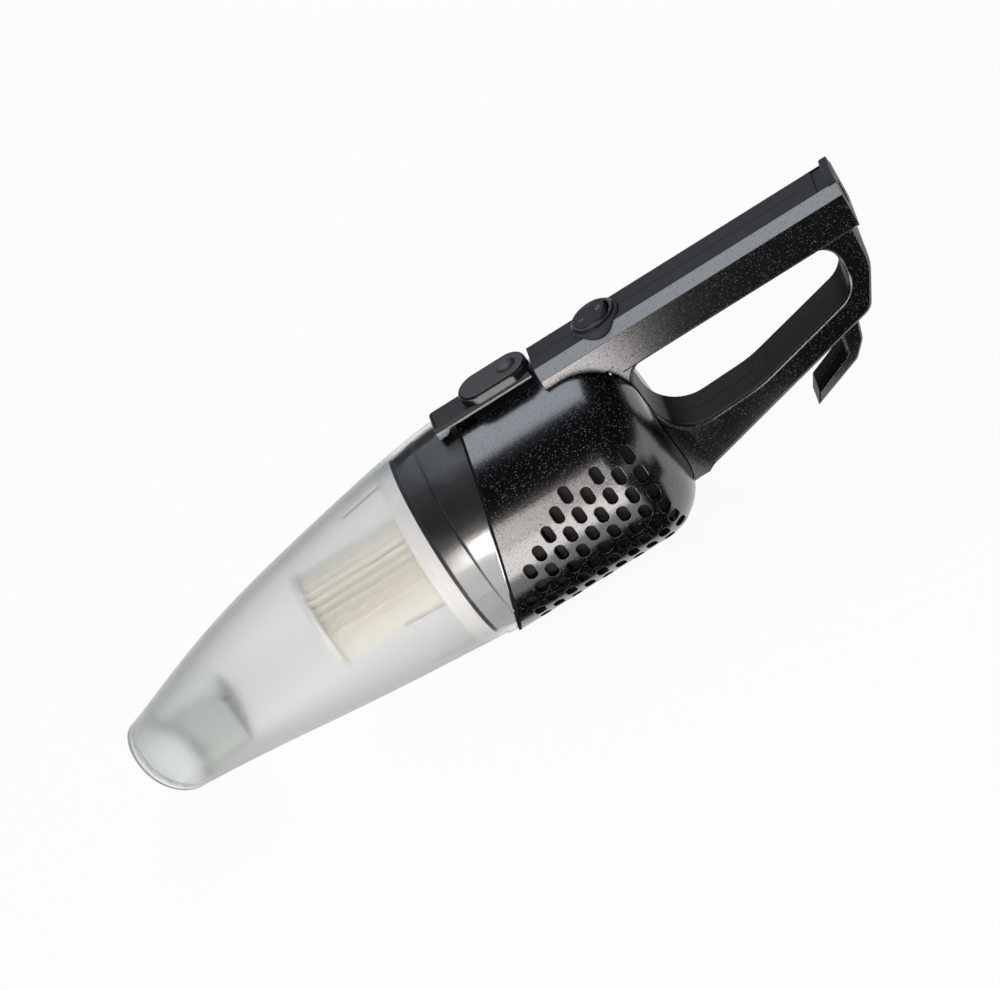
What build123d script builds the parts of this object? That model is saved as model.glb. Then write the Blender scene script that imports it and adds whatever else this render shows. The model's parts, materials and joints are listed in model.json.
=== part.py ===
from build123d import *
import math
import os

# A corded hand-held vacuum cleaner, in millimetres. It is modelled along its motor axis: +X runs to the
# rear, +Z is up, and X = 0 is where the slanted seam between dust cup and motor body crosses the axis.
# The finished pieces are moved so that the origin lies under the middle of the length, on the belly.

# Fits and cuts
over = 1.0
seat_gap = 0.2
running_gap = 0.05
move_gap = 0.4
parting_gap = 0.25

# Motor body: a barrel with a rounded rear end
body_radius = 53.4
body_length = 97.4
body_round = 28.0
body_wall = 2.4
seam_slant = 16.6
seam_gap = 0.6

# Exhaust slots in staggered columns on both flanks
vent_length = 9.4
vent_width = 5.6
vent_front_x = 2.5
vent_pitch = 8.68
vent_angle_pitch = 13.2
vent_top_angle = 19.0
vent_low_angle = -66.0
vent_skipped_rows = (3, 2, 1, 1, 0, 0, 0, 0, 0, 0)

# Baffles behind the exhaust slots
baffle_gap = 3.0
baffle_thickness = 1.5
baffle_front_gap = 1.0
baffle_rear_gap = 14.0
baffle_foot_length = 1.5
baffle_foot_columns = (3.5, 7.5)
baffle_top_angle = 27.0
baffle_low_angle = -75.0

# Dust cup: round at the seam, a flat oval at its slanted mouth
cup_rim_step = 0.7
cup_wall = 2.0
cup_length = 190.5
cup_mouth_half_width = 33.0
cup_mouth_half_height = 17.0
cup_mouth_drop = 16.0
cup_mouth_slant = 41.0
cup_bead_width = 5.0
cup_bead_height = 0.6
cup_station_shares = (-0.16, 0.0, 0.28, 0.53, 0.785, 1.0, 1.1)
cup_width_shares = (-0.015, 0.0, 0.307, 0.53, 0.752, 1.0, 1.08)
cup_height_shares = (-0.0085, 0.0, 0.174, 0.392, 0.697, 1.0, 1.13)
cup_drop_shares = (0.0, 0.0, 0.138, 0.317, 0.58, 1.0, 1.17)
cup_rib_count = 8
cup_rib_length = 22.0
cup_rib_height = 1.6
cup_rib_thickness = 1.2

# Inlet duct in the nose, with the non-return flap at its inner end
duct_half_width = 23.0
duct_half_height = 9.0
duct_wall = 1.6
duct_drop = 17.5
duct_end_x = -150.0
duct_flange = 2.2
duct_recess = 1.2
flap_thickness = 1.5
flap_lap = 1.0
flap_knuckle_radius = 2.2
flap_pin_radius = 1.0
flap_knuckle_half_length = 8.0
flap_ear_thickness = 3.0

# Collar that the cup slides over, with the guard grille at its front
collar_reach = 20.0
collar_hold = 10.08
collar_wall = 2.4
collar_foot_length = 4.0
collar_seal_radius = 1.1
collar_seal_sink = 1.0
collar_seal_x = -8.0
grille_thickness = 2.5
grille_hub_radius = 7.0
grille_spoke_count = 8
grille_spoke_angle = 12.0

# Filter: base with skirt, pleated paper, end cap and gasket
filter_gasket_thickness = 2.0
filter_gasket_width = 6.0
filter_skirt_length = 9.0
filter_skirt_wall = 2.0
filter_base_thickness = 2.5
filter_length = 62.0
filter_radius = 23.5
filter_pleat_depth = 5.5
filter_paper = 0.9
filter_pleat_count = 32
filter_cap_thickness = 3.5
filter_cap_lip = 1.2
filter_core_bar_count = 6
filter_core_bar_radius = 1.3
filter_outlet_radius = 14.0

# Fan
shroud_room = 10.4
shroud_sheet = 1.0
shroud_length = 26.0
shroud_gap = 3.5
impeller_room = 5.5
impeller_depth = 16.0
impeller_plate = 1.2
impeller_eye_radius = 15.0
impeller_hub_radius = 8.0
impeller_blade_count = 9
impeller_blade = 1.2
impeller_blade_curve_radius = 30.0
impeller_gap = 1.8
eye_radius = 14.0

# Motor
shaft_radius = 4.0
nut_radius = 7.0
nut_side_count = 6
nut_length = 4.0
bearing_radius = 9.5
bearing_length = 7.0
boss_wall = 2.5
bracket_thickness = 3.0
bracket_standoff = 13.0
stator_radius = 26.0
stator_bore = 16.2
stator_length = 30.0
stator_slot_half_width = 11.0
frame_wall = 2.0
frame_slot_count = 4
frame_vent_turn = 45.0
port_count = 9
port_share = 0.33
coil_thickness = 5.5
coil_gap = 1.0
armature_radius = 15.5
armature_slot_count = 12
armature_slot_width = 1.6
armature_slot_depth = 4.0
winding_radius = 13.0
winding_length = 5.0
commutator_radius = 10.5
commutator_length = 11.0
commutator_gap = 3.0
commutator_bar_count = 18
commutator_cut = 0.6
brush_width = 6.0
brush_height = 4.5
brush_length = 14.0
brush_sheath = 0.8
front_mount_length = 10.0
rear_mount_wall = 5.0

# Handle: a straight upper bar, and a narrower loop with the cord hook under it. A reach runs to the rear
# from the barrel's rear end, a lap runs forward from it, and a drop runs down from the bar's top.
bar_rise = 7.6
bar_height = 25.0
bar_half_width = 15.5
bar_chamfer = 5.0
bar_edge = 1.4
bar_lap = 34.6
bar_reach = 134.6
bar_end_lean = 2.5
bar_floor_depth = 19.0
handle_wall = 2.4
loop_half_width = 14.5
loop_edge = 2.0
loop_post_thickness = 15.5
loop_rear_reach = 113.6
loop_rear_drop = 67.5
loop_front_reach = 5.6
loop_front_drop = 95.5
loop_bend_drop = 45.0
loop_bend_lean = 9.0
loop_bend_round = 30.0
loop_heel_round = 9.0
gap_front_reach = 0.6
gap_rear_reach = 115.6
gap_depth = 46.7
gap_rear_depth = 29.0
gap_rear_lean = 3.5
gap_knee_share = 0.42
gap_knee_rise = 1.6
gap_front_round = 11.0
gap_rear_round = 9.0
gap_heel_round = 16.0
gap_knee_round = 60.0
gap_toe_round = 21.0
flare_inset = 15.4
flare_lap = 14.4
flare_reach = 10.6
flare_top_drop = 44.0
flare_toe_drop = 73.0
flare_low_drop = 91.0
flare_mid_shares = (0.3, 0.29)
flare_skin = 9.0
hook_half_width = 9.5
hook_thickness = 5.0
hook_root_reach = 101.1
hook_root_width = 10.5
hook_bend_drop = 84.0
hook_tip_reach = 65.6
hook_slope = 19.0
hook_outer_round = 9.0
hook_edge = 0.9
hook_tip_lean = 4.0

# Screws that close the handle halves, driven from the far side
screw_radius = 1.5
screw_head_radius = 2.9
screw_head_length = 2.2
screw_length = 17.0
screw_sink = 5.0
boss_radius = 4.6
screw_bar_reaches = (-19.4, 52.6, 102.6)
screw_loop_reach = 19.6
screw_post_drop = 40.0

# Top strip with the switch boss and the rear lip
strip_half_width = 10.2
strip_thickness = 2.2
strip_groove = 0.5
lip_length = 4.5
lip_height = 2.8
lip_edge = 0.9
notch_length = 6.0
notch_depth = 1.0

# Rocker switch
switch_reach = 1.8
switch_boss_radius = 13.0
switch_boss_height = 1.8
switch_boss_depth = 4.5
switch_boss_edge = 0.6
switch_bezel_radius = 11.6
switch_bezel_height = 1.2
switch_radius = 10.0
switch_depth = 13.0
switch_well_radius = 9.6
switch_well_half_width = 7.8
switch_well_depth = 9.0
rocker_radius = 8.7
rocker_half_width = 7.5
rocker_tilt = 8.0
rocker_rise = 1.6
rocker_thickness = 5.0
rocker_pivot_drop = 2.6
rocker_pin_radius = 1.1
rocker_pin_reach = 1.5
terminal_width = 4.8
terminal_thickness = 0.8
terminal_length = 5.0
terminal_pitch = 6.0

# Release latch: lever, button, pivot pin and leaf spring, in a saddle behind the seam
lever_overhang = 9.42
lever_rear_gap = 2.8
lever_rise = 7.0
lever_thickness = 4.0
lever_half_width = 7.6
lever_tooth = 3.5
lever_nose_round = 2.5
button_length = 37.0
button_half_width = 10.0
button_height = 5.0
button_edge = 1.6
button_dimple_radius = 11.0
button_dimple_depth = 1.3
button_dimple_inset = 10.0
button_rear_gap = 1.0
pivot_inset = 20.08
pivot_radius = 1.2
pivot_cover = 1.6
lug_half_width = 2.6
lug_half_length = 3.0
lug_cap = 1.0
pivot_height_share = 0.36
saddle_front_gap = 0.8
saddle_half_width = 8.5
leaf_thickness = 0.5
leaf_half_width = 3.0
leaf_inset = 7.0
leaf_length = 14.0
leaf_rise_gap = 0.3

# Cord gland in the rear end of the upper bar
gland_bore = 3.6
gland_radius = 6.0
gland_flange_radius = 8.5
gland_flange = 4.0
gland_length = 10.0
gland_recess = 1.6

# Places worked out from the sizes
seam_rad = math.radians(seam_slant)
mouth_rad = math.radians(cup_mouth_slant)
body_bore = body_radius - body_wall
seam_top_x = body_radius * math.tan(seam_rad)
cup_rim_radius = body_radius - cup_rim_step
collar_depth = seam_top_x + collar_hold
shroud_radius = body_radius - shroud_room
impeller_radius = shroud_radius - impeller_room
bar_top = body_radius + bar_rise
bar_front_x = body_length - bar_lap
bar_end_x = body_length + bar_reach
bar_bottom = bar_top - bar_height
bar_floor = bar_top - bar_floor_depth
bar_middle = bar_top - bar_height / 2
loop_front_x = body_length + loop_front_reach
loop_rear_x = body_length + loop_rear_reach
gap_front_x = body_length + gap_front_reach
gap_rear_x = body_length + gap_rear_reach
flare_half_width = body_radius - flare_inset
flare_front_x = body_length - flare_lap
flare_rear_x = body_length + flare_reach
hook_root_x = body_length + hook_root_reach
hook_tip_x = body_length + hook_tip_reach
screw_bar_x = [body_length + reach for reach in screw_bar_reaches]
screw_loop_x = body_length + screw_loop_reach
switch_x = body_length + switch_reach
collar_inset = cup_wall + move_gap
saddle_front_x = collar_depth + saddle_front_gap
shroud_front_x = grille_thickness + shroud_gap - collar_reach
shroud_rear_x = shroud_front_x + shroud_length
impeller_x = shroud_front_x + shroud_sheet + impeller_gap
bracket_x = shroud_rear_x - bracket_thickness
stator_x = shroud_rear_x + bracket_standoff
stator_end_x = stator_x + stator_length
commutator_x = stator_end_x + winding_length + commutator_gap
rear_bearing_x = commutator_x + commutator_length + commutator_gap
shaft_end_x = rear_bearing_x + bearing_length
front_bearing_x = shroud_rear_x
frame_radius = stator_radius + frame_wall
frame_end_x = rear_bearing_x + frame_wall
boss_radius_motor = bearing_radius + boss_wall
filter_base_x = -collar_reach - filter_gasket_thickness - filter_skirt_length
filter_cap_x = filter_base_x - filter_length
filter_pleat_inside = filter_radius - filter_pleat_depth - filter_paper
filter_bar_place = filter_pleat_inside - filter_core_bar_radius - move_gap
lever_top = body_radius + lever_rise
lever_front_x = seam_top_x - lever_overhang
lever_rear_x = bar_front_x - lever_rear_gap
lever_bottom = lever_top - lever_thickness
pivot_x = seam_top_x + pivot_inset
leaf_start_x = pivot_x + leaf_inset
pivot_z = lever_bottom + lever_thickness * pivot_height_share
pin_reach = lever_half_width - pivot_cover
button_rear_x = bar_front_x - button_rear_gap
switch_face_z = bar_top + switch_boss_height
rocker_pivot_z = switch_face_z - rocker_pivot_drop
flap_hinge_x = duct_end_x + move_gap + flap_thickness / 2
flap_hinge_z = duct_half_height + duct_wall + flap_knuckle_radius + move_gap - duct_drop
nose_x = -cup_length - math.tan(mouth_rad) * cup_mouth_half_height
origin = ((bar_end_x + nose_x) / 2, 0, -body_radius)


def rod_x(start, end, radius):
    """A round bar along X."""
    bar = Cylinder(radius, end - start, align=(Align.CENTER, Align.CENTER, Align.MIN))
    return Pos(start, 0, 0) * Rot(0, 90, 0) * bar


def tube_x(start, end, outer, inner):
    """A tube along X, open at both ends."""
    return rod_x(start, end, outer) - rod_x(start - over, end + over, inner)


def rod_y(x, z, start, end, radius):
    """A round bar along Y."""
    bar = Cylinder(radius, end - start, align=(Align.CENTER, Align.CENTER, Align.MIN))
    return Pos(x, start, z) * Rot(-90, 0, 0) * bar


def rod_z(x, y, start, end, radius):
    """A round bar along Z."""
    bar = Cylinder(radius, end - start, align=(Align.CENTER, Align.CENTER, Align.MIN))
    return Pos(x, y, start) * bar


def block(low, high):
    """A box between two corners."""
    size = [b - a for a, b in zip(low, high)]
    return Pos(*low) * Box(*size, align=(Align.MIN, Align.MIN, Align.MIN))


def side_face(points, rounds=None):
    """A flat face in the XZ plane, from side-view points and an optional round for each corner."""
    if rounds is None:
        return Plane.XZ * make_face(Polyline(*points, close=True))
    return Plane.XZ * make_face(FilletPolyline(*points, radius=rounds, close=True))


def side_prism(face, half_width):
    """A side-view face made as wide as twice the half width, about Y = 0."""
    return extrude(face, half_width, both=True)


def group(pieces):
    """Separate solids kept as one piece."""
    return Part() + pieces


def round_pattern(piece, count):
    """Copies of a piece spread evenly round the motor axis."""
    return [Rot(360 * i / count, 0, 0) * piece for i in range(count)]


def seam_plane(shift):
    """The slanted seam, moved along X. Its normal points to the rear."""
    return Plane((shift, 0, 0), x_dir=(0, 1, 0), z_dir=(math.cos(seam_rad), 0, -math.sin(seam_rad)))


def mouth_plane(shift):
    """The slanted mouth, moved inwards. Its normal points into the cup."""
    normal = Vector(math.cos(mouth_rad), 0, math.sin(mouth_rad))
    centre = Vector(-cup_length, 0, -cup_mouth_drop) + normal * shift
    return Plane(centre, x_dir=(0, 1, 0), z_dir=normal)


def cup_form(inset):
    """The cup's outside, drawn in all round by an inset, past both of its ends."""
    sections = []
    table = zip(cup_station_shares, cup_width_shares, cup_height_shares, cup_drop_shares)
    for station, width, height, drop in table:
        centre = (-cup_length * station, 0, -cup_mouth_drop * drop)
        half_width = cup_rim_radius - (cup_rim_radius - cup_mouth_half_width) * width - inset
        half_height = cup_rim_radius - (cup_rim_radius - cup_mouth_half_height) * height - inset
        plane = Plane(centre, x_dir=(0, 1, 0), z_dir=(1, 0, 0))
        sections.append(plane * Ellipse(half_width, half_height))
    return loft(sections)


def cup_slice(inset, start, end):
    """The cup form between two places on the axis."""
    wide = cup_rim_radius + body_radius
    return cup_form(inset) & block((start, -wide, -wide), (end, wide, wide))


def body_form(inset):
    """The barrel of the motor body, drawn in all round by an inset."""
    barrel = rod_x(-body_radius, body_length - inset, body_radius - inset)
    rim = barrel.edges().filter_by(GeomType.CIRCLE).sort_by(Axis.X)[-1]
    return fillet(rim, body_round - inset)


def bar_form(inset):
    """The upper bar of the handle with its top chamfers, drawn in all round by an inset."""
    end_slope = bar_end_lean / bar_height
    low = bar_bottom + inset
    high = bar_top - inset
    floor = bar_floor + inset
    end_high = bar_end_x - inset * (1 + end_slope)
    end_low = bar_end_x - bar_end_lean - inset * (1 - end_slope)
    heel_x = gap_front_x - inset
    points = [
        (bar_front_x + inset, floor),
        (bar_front_x + inset, high),
        (end_high, high),
        (end_low, low),
        (heel_x, low),
        (heel_x - (bar_floor - bar_bottom) / 2, floor),
    ]
    bar = side_prism(side_face(points), bar_half_width - inset)
    long_edges = bar.edges().filter_by(Axis.X)
    bar = chamfer(long_edges.group_by(Axis.Z)[-1], bar_chamfer)
    if inset > 0:
        return bar
    return chamfer(bar.edges().filter_by(Axis.X).group_by(Axis.Z)[0], bar_edge)


def gap_face():
    """Side view of the finger gap."""
    points = [
        (gap_front_x, bar_bottom),
        (gap_rear_x, bar_bottom),
        (gap_rear_x - gap_rear_lean, bar_bottom - gap_rear_depth),
        (gap_front_x + (gap_rear_x - gap_front_x) * gap_knee_share, bar_bottom - gap_depth + gap_knee_rise),
        (gap_front_x, bar_bottom - gap_depth),
    ]
    rounds = [gap_front_round, gap_rear_round, gap_heel_round, gap_knee_round, gap_toe_round]
    return side_face(points, rounds)


def loop_face():
    """Side view of the loop's outside, from the barrel to the rear post."""
    post_x = gap_rear_x + loop_post_thickness
    points = [
        (flare_front_x, bar_middle),
        (post_x, bar_middle),
        (post_x - loop_bend_lean / 2, bar_top - loop_bend_drop),
        (loop_rear_x, bar_top - loop_rear_drop),
        (loop_front_x, bar_top - loop_front_drop),
        (flare_front_x, bar_top - loop_front_drop),
    ]
    rounds = [0, 0, loop_bend_round, loop_heel_round, loop_bend_round, 0]
    return side_face(points, rounds)


def loop_form():
    """The loop with its finger gap, its long edges rounded."""
    loop = side_prism(loop_face(), loop_half_width)
    loop = loop - side_prism(gap_face(), loop_half_width + over)
    for side in (0, -1):
        loop = fillet(loop.faces().sort_by(Axis.Y)[side].edges(), loop_edge)
    return loop


def flare_form():
    """The concave skirt that spreads from the loop's lower bar to the barrel's shoulder."""
    across = flare_half_width - loop_half_width
    along = flare_rear_x - flare_front_x
    mid_x = flare_front_x + along * flare_mid_shares[0]
    mid_y = loop_half_width + across * flare_mid_shares[1]
    edges = []
    back_x = flare_front_x - over
    for side in (1, -1):
        shoulder = (flare_front_x, side * flare_half_width)
        edges.append(Line((back_x, side * flare_half_width), shoulder))
        edges.append(ThreePointArc(shoulder, (mid_x, side * mid_y), (flare_rear_x, side * loop_half_width)))
    edges.append(Line((back_x, flare_half_width), (back_x, -flare_half_width)))
    edges.append(Line((flare_rear_x, loop_half_width), (flare_rear_x, -loop_half_width)))
    plan = make_face(edges)
    skirt = extrude(plan, body_radius + bar_top, both=True)
    low = bar_top - loop_front_drop
    outline = [
        (flare_front_x - over, bar_top - flare_top_drop),
        (flare_rear_x, bar_top - flare_toe_drop),
        (flare_rear_x, low + (flare_rear_x - loop_front_x) / 2),
        (loop_front_x, low),
        (flare_front_x - over, bar_top - flare_low_drop),
    ]
    skirt = skirt & side_prism(side_face(outline), body_radius)
    return skirt & rod_x(0, flare_rear_x + over, body_radius - flare_skin)


def hook_form():
    """The cord hook: a flat tongue that drops from the heel and runs forward."""
    slope = math.tan(math.radians(hook_slope))
    bend_z = bar_top - hook_bend_drop
    root_z = bar_top - loop_rear_drop
    rise = hook_thickness / math.cos(math.radians(hook_slope))
    bend_x = hook_root_x - hook_thickness
    tip_z = bend_z - (bend_x - hook_tip_x) * slope
    points = [
        (hook_root_x + hook_thickness, root_z),
        (hook_root_x, bend_z + hook_thickness / 2),
        (bend_x - hook_thickness / 2, bend_z - rise),
        (hook_tip_x, tip_z - rise),
        (hook_tip_x + hook_tip_lean, tip_z + hook_tip_lean * slope),
        (bend_x - hook_thickness, bend_z),
        (hook_root_x + hook_thickness - hook_root_width, root_z),
    ]
    rounds = [0, hook_outer_round, hook_outer_round, 0, 0, hook_outer_round / 2, 0]
    hook = side_prism(side_face(points, rounds), hook_half_width)
    for side in (0, -1):
        hook = chamfer(hook.faces().sort_by(Axis.Y)[side].edges(), hook_edge)
    return hook


def loop_cavity():
    """The hollow of the loop, one wall inside it."""
    outer = offset(loop_face(), -handle_wall, kind=Kind.INTERSECTION)
    inner = offset(gap_face(), handle_wall)
    hollow = side_prism(outer, loop_half_width - handle_wall)
    return hollow - side_prism(inner, loop_half_width)


def screw_places():
    """Side-view places of the handle screws."""
    low = bar_top - loop_front_drop
    rise = (loop_front_drop - loop_rear_drop) / (loop_rear_x - loop_front_x)
    under = low + (screw_loop_x - loop_front_x) * rise
    floor = bar_bottom - gap_depth
    places = [(x, bar_middle) for x in screw_bar_x[1:]]
    places.append((screw_bar_x[0], (bar_top + bar_floor) / 2))
    places.append((screw_loop_x, (under + floor) / 2))
    places.append((gap_rear_x + loop_post_thickness / 2 - gap_rear_lean / 2, bar_top - screw_post_drop))
    return places


def saddle_form(inset):
    """The block behind the seam that carries the latch, flush with the barrel."""
    points = [
        (saddle_front_x + inset, bar_floor + inset),
        (saddle_front_x + inset, bar_top),
        (bar_front_x + over, bar_top),
        (bar_front_x + over, bar_floor + inset),
    ]
    return side_prism(side_face(points), saddle_half_width - inset) & body_form(inset)


def latch_lug():
    """The lug on the saddle that carries the pivot pin."""
    base = block(
        (pivot_x - lug_half_length, -lug_half_width, bar_floor),
        (pivot_x + lug_half_length, lug_half_width, pivot_z),
    )
    return base + rod_y(pivot_x, pivot_z, -lug_half_width, lug_half_width, pivot_radius + lug_cap)


def switch_hole():
    """Room for the switch boss and the switch body in the upper bar."""
    low = bar_top - switch_boss_depth - seat_gap
    boss = rod_z(switch_x, 0, low, bar_top + over, switch_boss_radius + seat_gap)
    body = rod_z(switch_x, 0, switch_face_z - switch_depth - over, bar_top, switch_radius + seat_gap)
    return boss + body


def strip_bed(gap):
    """Room for the top strip, or the strip's own slab when the gap is zero."""
    return block(
        (bar_front_x - over, -strip_half_width - gap, bar_top - strip_thickness - gap),
        (bar_end_x + over, strip_half_width + gap, bar_top + over),
    )


def handle_whole():
    """Both handle halves before they are parted."""
    bar = bar_form(0)
    loop = loop_form() + hook_form() + flare_form()
    loop = loop - body_form(-seat_gap)
    hollow = loop_cavity() - body_form(-seat_gap - handle_wall)
    shell = bar + loop - bar_form(handle_wall) - hollow
    saddle = saddle_form(0) - saddle_form(handle_wall)
    return shell + saddle + latch_lug()


def handle_bosses():
    """Screw bosses across the hollow handle, from wall to wall."""
    bosses = []
    for x, z in screw_places():
        reach = bar_half_width if z > bar_bottom else loop_half_width
        bosses.append(rod_y(x, z, -reach + handle_wall / 2, reach - handle_wall / 2, boss_radius))
    return bosses


def screw_span(z):
    """Where a screw's head seat and tip lie across the handle."""
    reach = bar_half_width if z > bar_bottom else loop_half_width
    seat = reach - screw_sink
    return reach, seat, seat - screw_length


def make_handles():
    """The near and the far half of the handle."""
    whole = handle_whole()
    for boss in handle_bosses():
        whole = whole + boss
    whole = whole - strip_bed(seat_gap) - switch_hole()
    reach = lug_half_width + over
    pivot = rod_y(pivot_x, pivot_z, -reach, reach, pivot_radius + running_gap)
    gland = rod_x(bar_end_x - gland_length - bar_end_lean, bar_end_x + over, gland_radius + seat_gap)
    whole = whole - pivot - Pos(0, 0, bar_middle) * gland
    for x, z in screw_places():
        reach, seat, tip = screw_span(z)
        whole = whole - rod_y(x, z, seat, reach + over, screw_head_radius + seat_gap)
        whole = whole - rod_y(x, z, tip - over, seat + over, screw_radius + running_gap)
    near = split(whole, bisect_by=Plane.XZ.offset(parting_gap / 2), keep=Keep.TOP)
    far = split(whole, bisect_by=Plane.XZ.offset(-parting_gap / 2), keep=Keep.BOTTOM)
    return near, far


def make_handle_screws():
    """The handle screws, as one group."""
    screws = []
    for x, z in screw_places():
        reach, seat, tip = screw_span(z)
        screw = rod_y(x, z, seat, seat + screw_head_length, screw_head_radius)
        screws.append(screw + rod_y(x, z, tip, seat, screw_radius))
    return group(screws)


def vent_tools():
    """Cutters for the exhaust slots on both flanks."""
    reach = body_wall + body_round / 2
    slot = Plane.XZ * SlotOverall(vent_length, vent_width, rotation=90)
    tool = Pos(0, over - body_radius + reach, 0) * extrude(slot, reach + 2 * over)
    tools = []
    for column, skipped in enumerate(vent_skipped_rows):
        x = vent_front_x + vent_pitch * column
        first = vent_top_angle - vent_angle_pitch / 2 * ((column + 1) % 2)
        row = skipped
        while first - vent_angle_pitch * row > vent_low_angle:
            angle = first - vent_angle_pitch * row
            placed = Pos(x, 0, 0) * Rot(-angle, 0, 0) * tool
            tools.append(placed)
            tools.append(mirror(placed, about=Plane.XZ))
            row += 1
    return tools


def make_motor_body():
    """The barrel round the motor, open to the front, slotted on its flanks and along its top."""
    shell = body_form(0) - body_form(body_wall)
    shell = split(shell, bisect_by=seam_plane(seam_gap / 2), keep=Keep.TOP)
    bar_slot = block(
        (bar_front_x - seat_gap, -bar_half_width - seat_gap, bar_bottom - seat_gap),
        (body_length + over, bar_half_width + seat_gap, bar_top),
    )
    saddle_slot = block(
        (saddle_front_x - seat_gap, -saddle_half_width - seat_gap, bar_floor - seat_gap),
        (bar_front_x, saddle_half_width + seat_gap, bar_top),
    )
    return shell - bar_slot - saddle_slot - vent_tools()


def make_exhaust_baffles():
    """The two curved baffles behind the exhaust slots, with feet between the slots' columns."""
    inset = body_wall + baffle_gap
    inside = body_form(inset + baffle_thickness)
    front = collar_depth + baffle_front_gap
    rear = body_length - baffle_rear_gap
    plate = body_form(inset) - inside
    for column in baffle_foot_columns:
        middle = vent_front_x + vent_pitch * column
        start = middle - baffle_foot_length / 2
        foot = rod_x(start, start + baffle_foot_length, body_bore - seat_gap)
        plate = plate + (foot - inside)
    wide = body_radius
    under = block((front, -wide, -wide), (rear, wide, 0))
    above = block((front, -wide, 0), (rear, wide, wide))
    near = plate & Rot(-baffle_top_angle, 0, 0) * under & Rot(-baffle_low_angle, 0, 0) * above
    return group([near, mirror(near, about=Plane.XZ)])


def make_dust_cup():
    """The frosted cup: thin wall, beaded rim and guide ribs."""
    shell = cup_form(0) - cup_form(cup_wall)
    shell = split(shell, bisect_by=mouth_plane(0), keep=Keep.TOP)
    shell = split(shell, bisect_by=seam_plane(-seam_gap / 2), keep=Keep.BOTTOM)
    bead = cup_form(-cup_bead_height) - cup_form(cup_wall / 2)
    bead = split(bead, bisect_by=seam_plane(-seam_gap / 2), keep=Keep.BOTTOM)
    bead = split(bead, bisect_by=seam_plane(-seam_gap / 2 - cup_bead_width), keep=Keep.TOP)
    rib_rear_x = filter_base_x - move_gap
    rib_front_x = rib_rear_x - cup_rib_length
    ring = cup_slice(cup_wall / 2, rib_front_x, rib_rear_x) - cup_form(cup_wall + cup_rib_height)
    half = cup_rib_thickness / 2
    blade = block((rib_front_x, -half, 0), (rib_rear_x, half, cup_rim_radius))
    ribs = [ring & rib for rib in round_pattern(blade, cup_rib_count)]
    return shell + bead + ribs


def duct_section(grow):
    """The duct's oval section, grown all round, at its inner end."""
    plane = Plane((duct_end_x, 0, -duct_drop), x_dir=(0, 1, 0), z_dir=(1, 0, 0))
    return plane * Ellipse(duct_half_width + grow, duct_half_height + grow)


def make_inlet_duct():
    """The oval duct, its slanted front flange and the two hinge ears."""
    length = cup_length + duct_end_x + cup_mouth_half_width
    pipe = extrude(duct_section(duct_wall), -length)
    pipe = split(pipe, bisect_by=mouth_plane(duct_recess), keep=Keep.TOP)
    flange = cup_form(cup_wall + seat_gap)
    flange = split(flange, bisect_by=mouth_plane(duct_recess), keep=Keep.TOP)
    flange = split(flange, bisect_by=mouth_plane(duct_recess + duct_flange), keep=Keep.BOTTOM)
    ears = []
    start = flap_knuckle_half_length + move_gap
    for side in (start, -start - flap_ear_thickness):
        ear = rod_y(flap_hinge_x, flap_hinge_z, side, side + flap_ear_thickness, flap_knuckle_radius)
        low = (duct_end_x - 2 * flap_knuckle_radius, side, -duct_drop)
        high = (flap_hinge_x, side + flap_ear_thickness, flap_hinge_z + flap_knuckle_radius)
        ears.append(ear + block(low, high))
    bore = extrude(duct_section(0), -length, both=True)
    step = block(
        (duct_end_x, -duct_half_width, -2 * duct_drop),
        (duct_end_x + duct_half_width, duct_half_width, flap_hinge_z - flap_knuckle_radius),
    )
    pin = rod_y(flap_hinge_x, flap_hinge_z, -duct_half_width, duct_half_width, flap_pin_radius)
    return pipe + flange + ears - bore - step - pin


def make_inlet_flap():
    """The soft non-return flap with its hinge knuckle."""
    plate = Pos(move_gap, 0, 0) * extrude(duct_section(flap_lap), flap_thickness)
    half = flap_knuckle_half_length
    neck = block(
        (duct_end_x + move_gap, -half, -duct_drop),
        (duct_end_x + move_gap + flap_thickness, half, flap_hinge_z),
    )
    knuckle = rod_y(flap_hinge_x, flap_hinge_z, -half, half, flap_knuckle_radius - move_gap)
    bore = rod_y(flap_hinge_x, flap_hinge_z, -half - over, half + over, flap_pin_radius + running_gap)
    return plate + neck + knuckle - bore


def make_flap_pin():
    """The pin through the duct's ears."""
    reach = flap_knuckle_half_length + move_gap + flap_ear_thickness
    return rod_y(flap_hinge_x, flap_hinge_z, -reach, reach, flap_pin_radius)


def make_front_collar():
    """The dark collar inside the cup's rim, with the guard grille and a foot held in the body."""
    outside = cup_slice(collar_inset, -collar_reach, collar_depth)
    outside = outside & rod_x(-collar_reach - over, collar_depth + over, body_bore - collar_wall / 4)
    hollow = cup_slice(collar_inset + collar_wall, grille_thickness - collar_reach, collar_depth + over)
    foot_x = collar_depth - collar_foot_length
    foot = tube_x(foot_x, collar_depth, body_bore - seat_gap, body_bore - collar_wall - body_wall)
    grille_x = grille_thickness - collar_reach
    window = tube_x(-collar_reach - over, grille_x + over, filter_radius, grille_hub_radius)
    spokes = round_pattern(spoke_wedge(), grille_spoke_count)
    groove = seal_ring(collar_seal_radius + running_gap)
    return outside - hollow + foot - (window - spokes) - groove


def spoke_wedge():
    """One radial spoke of the guard grille."""
    half = grille_hub_radius * math.tan(math.radians(grille_spoke_angle))
    return block(
        (-collar_reach - over, -half, 0),
        (grille_thickness - collar_reach + over, half, filter_radius + over),
    )


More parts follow.
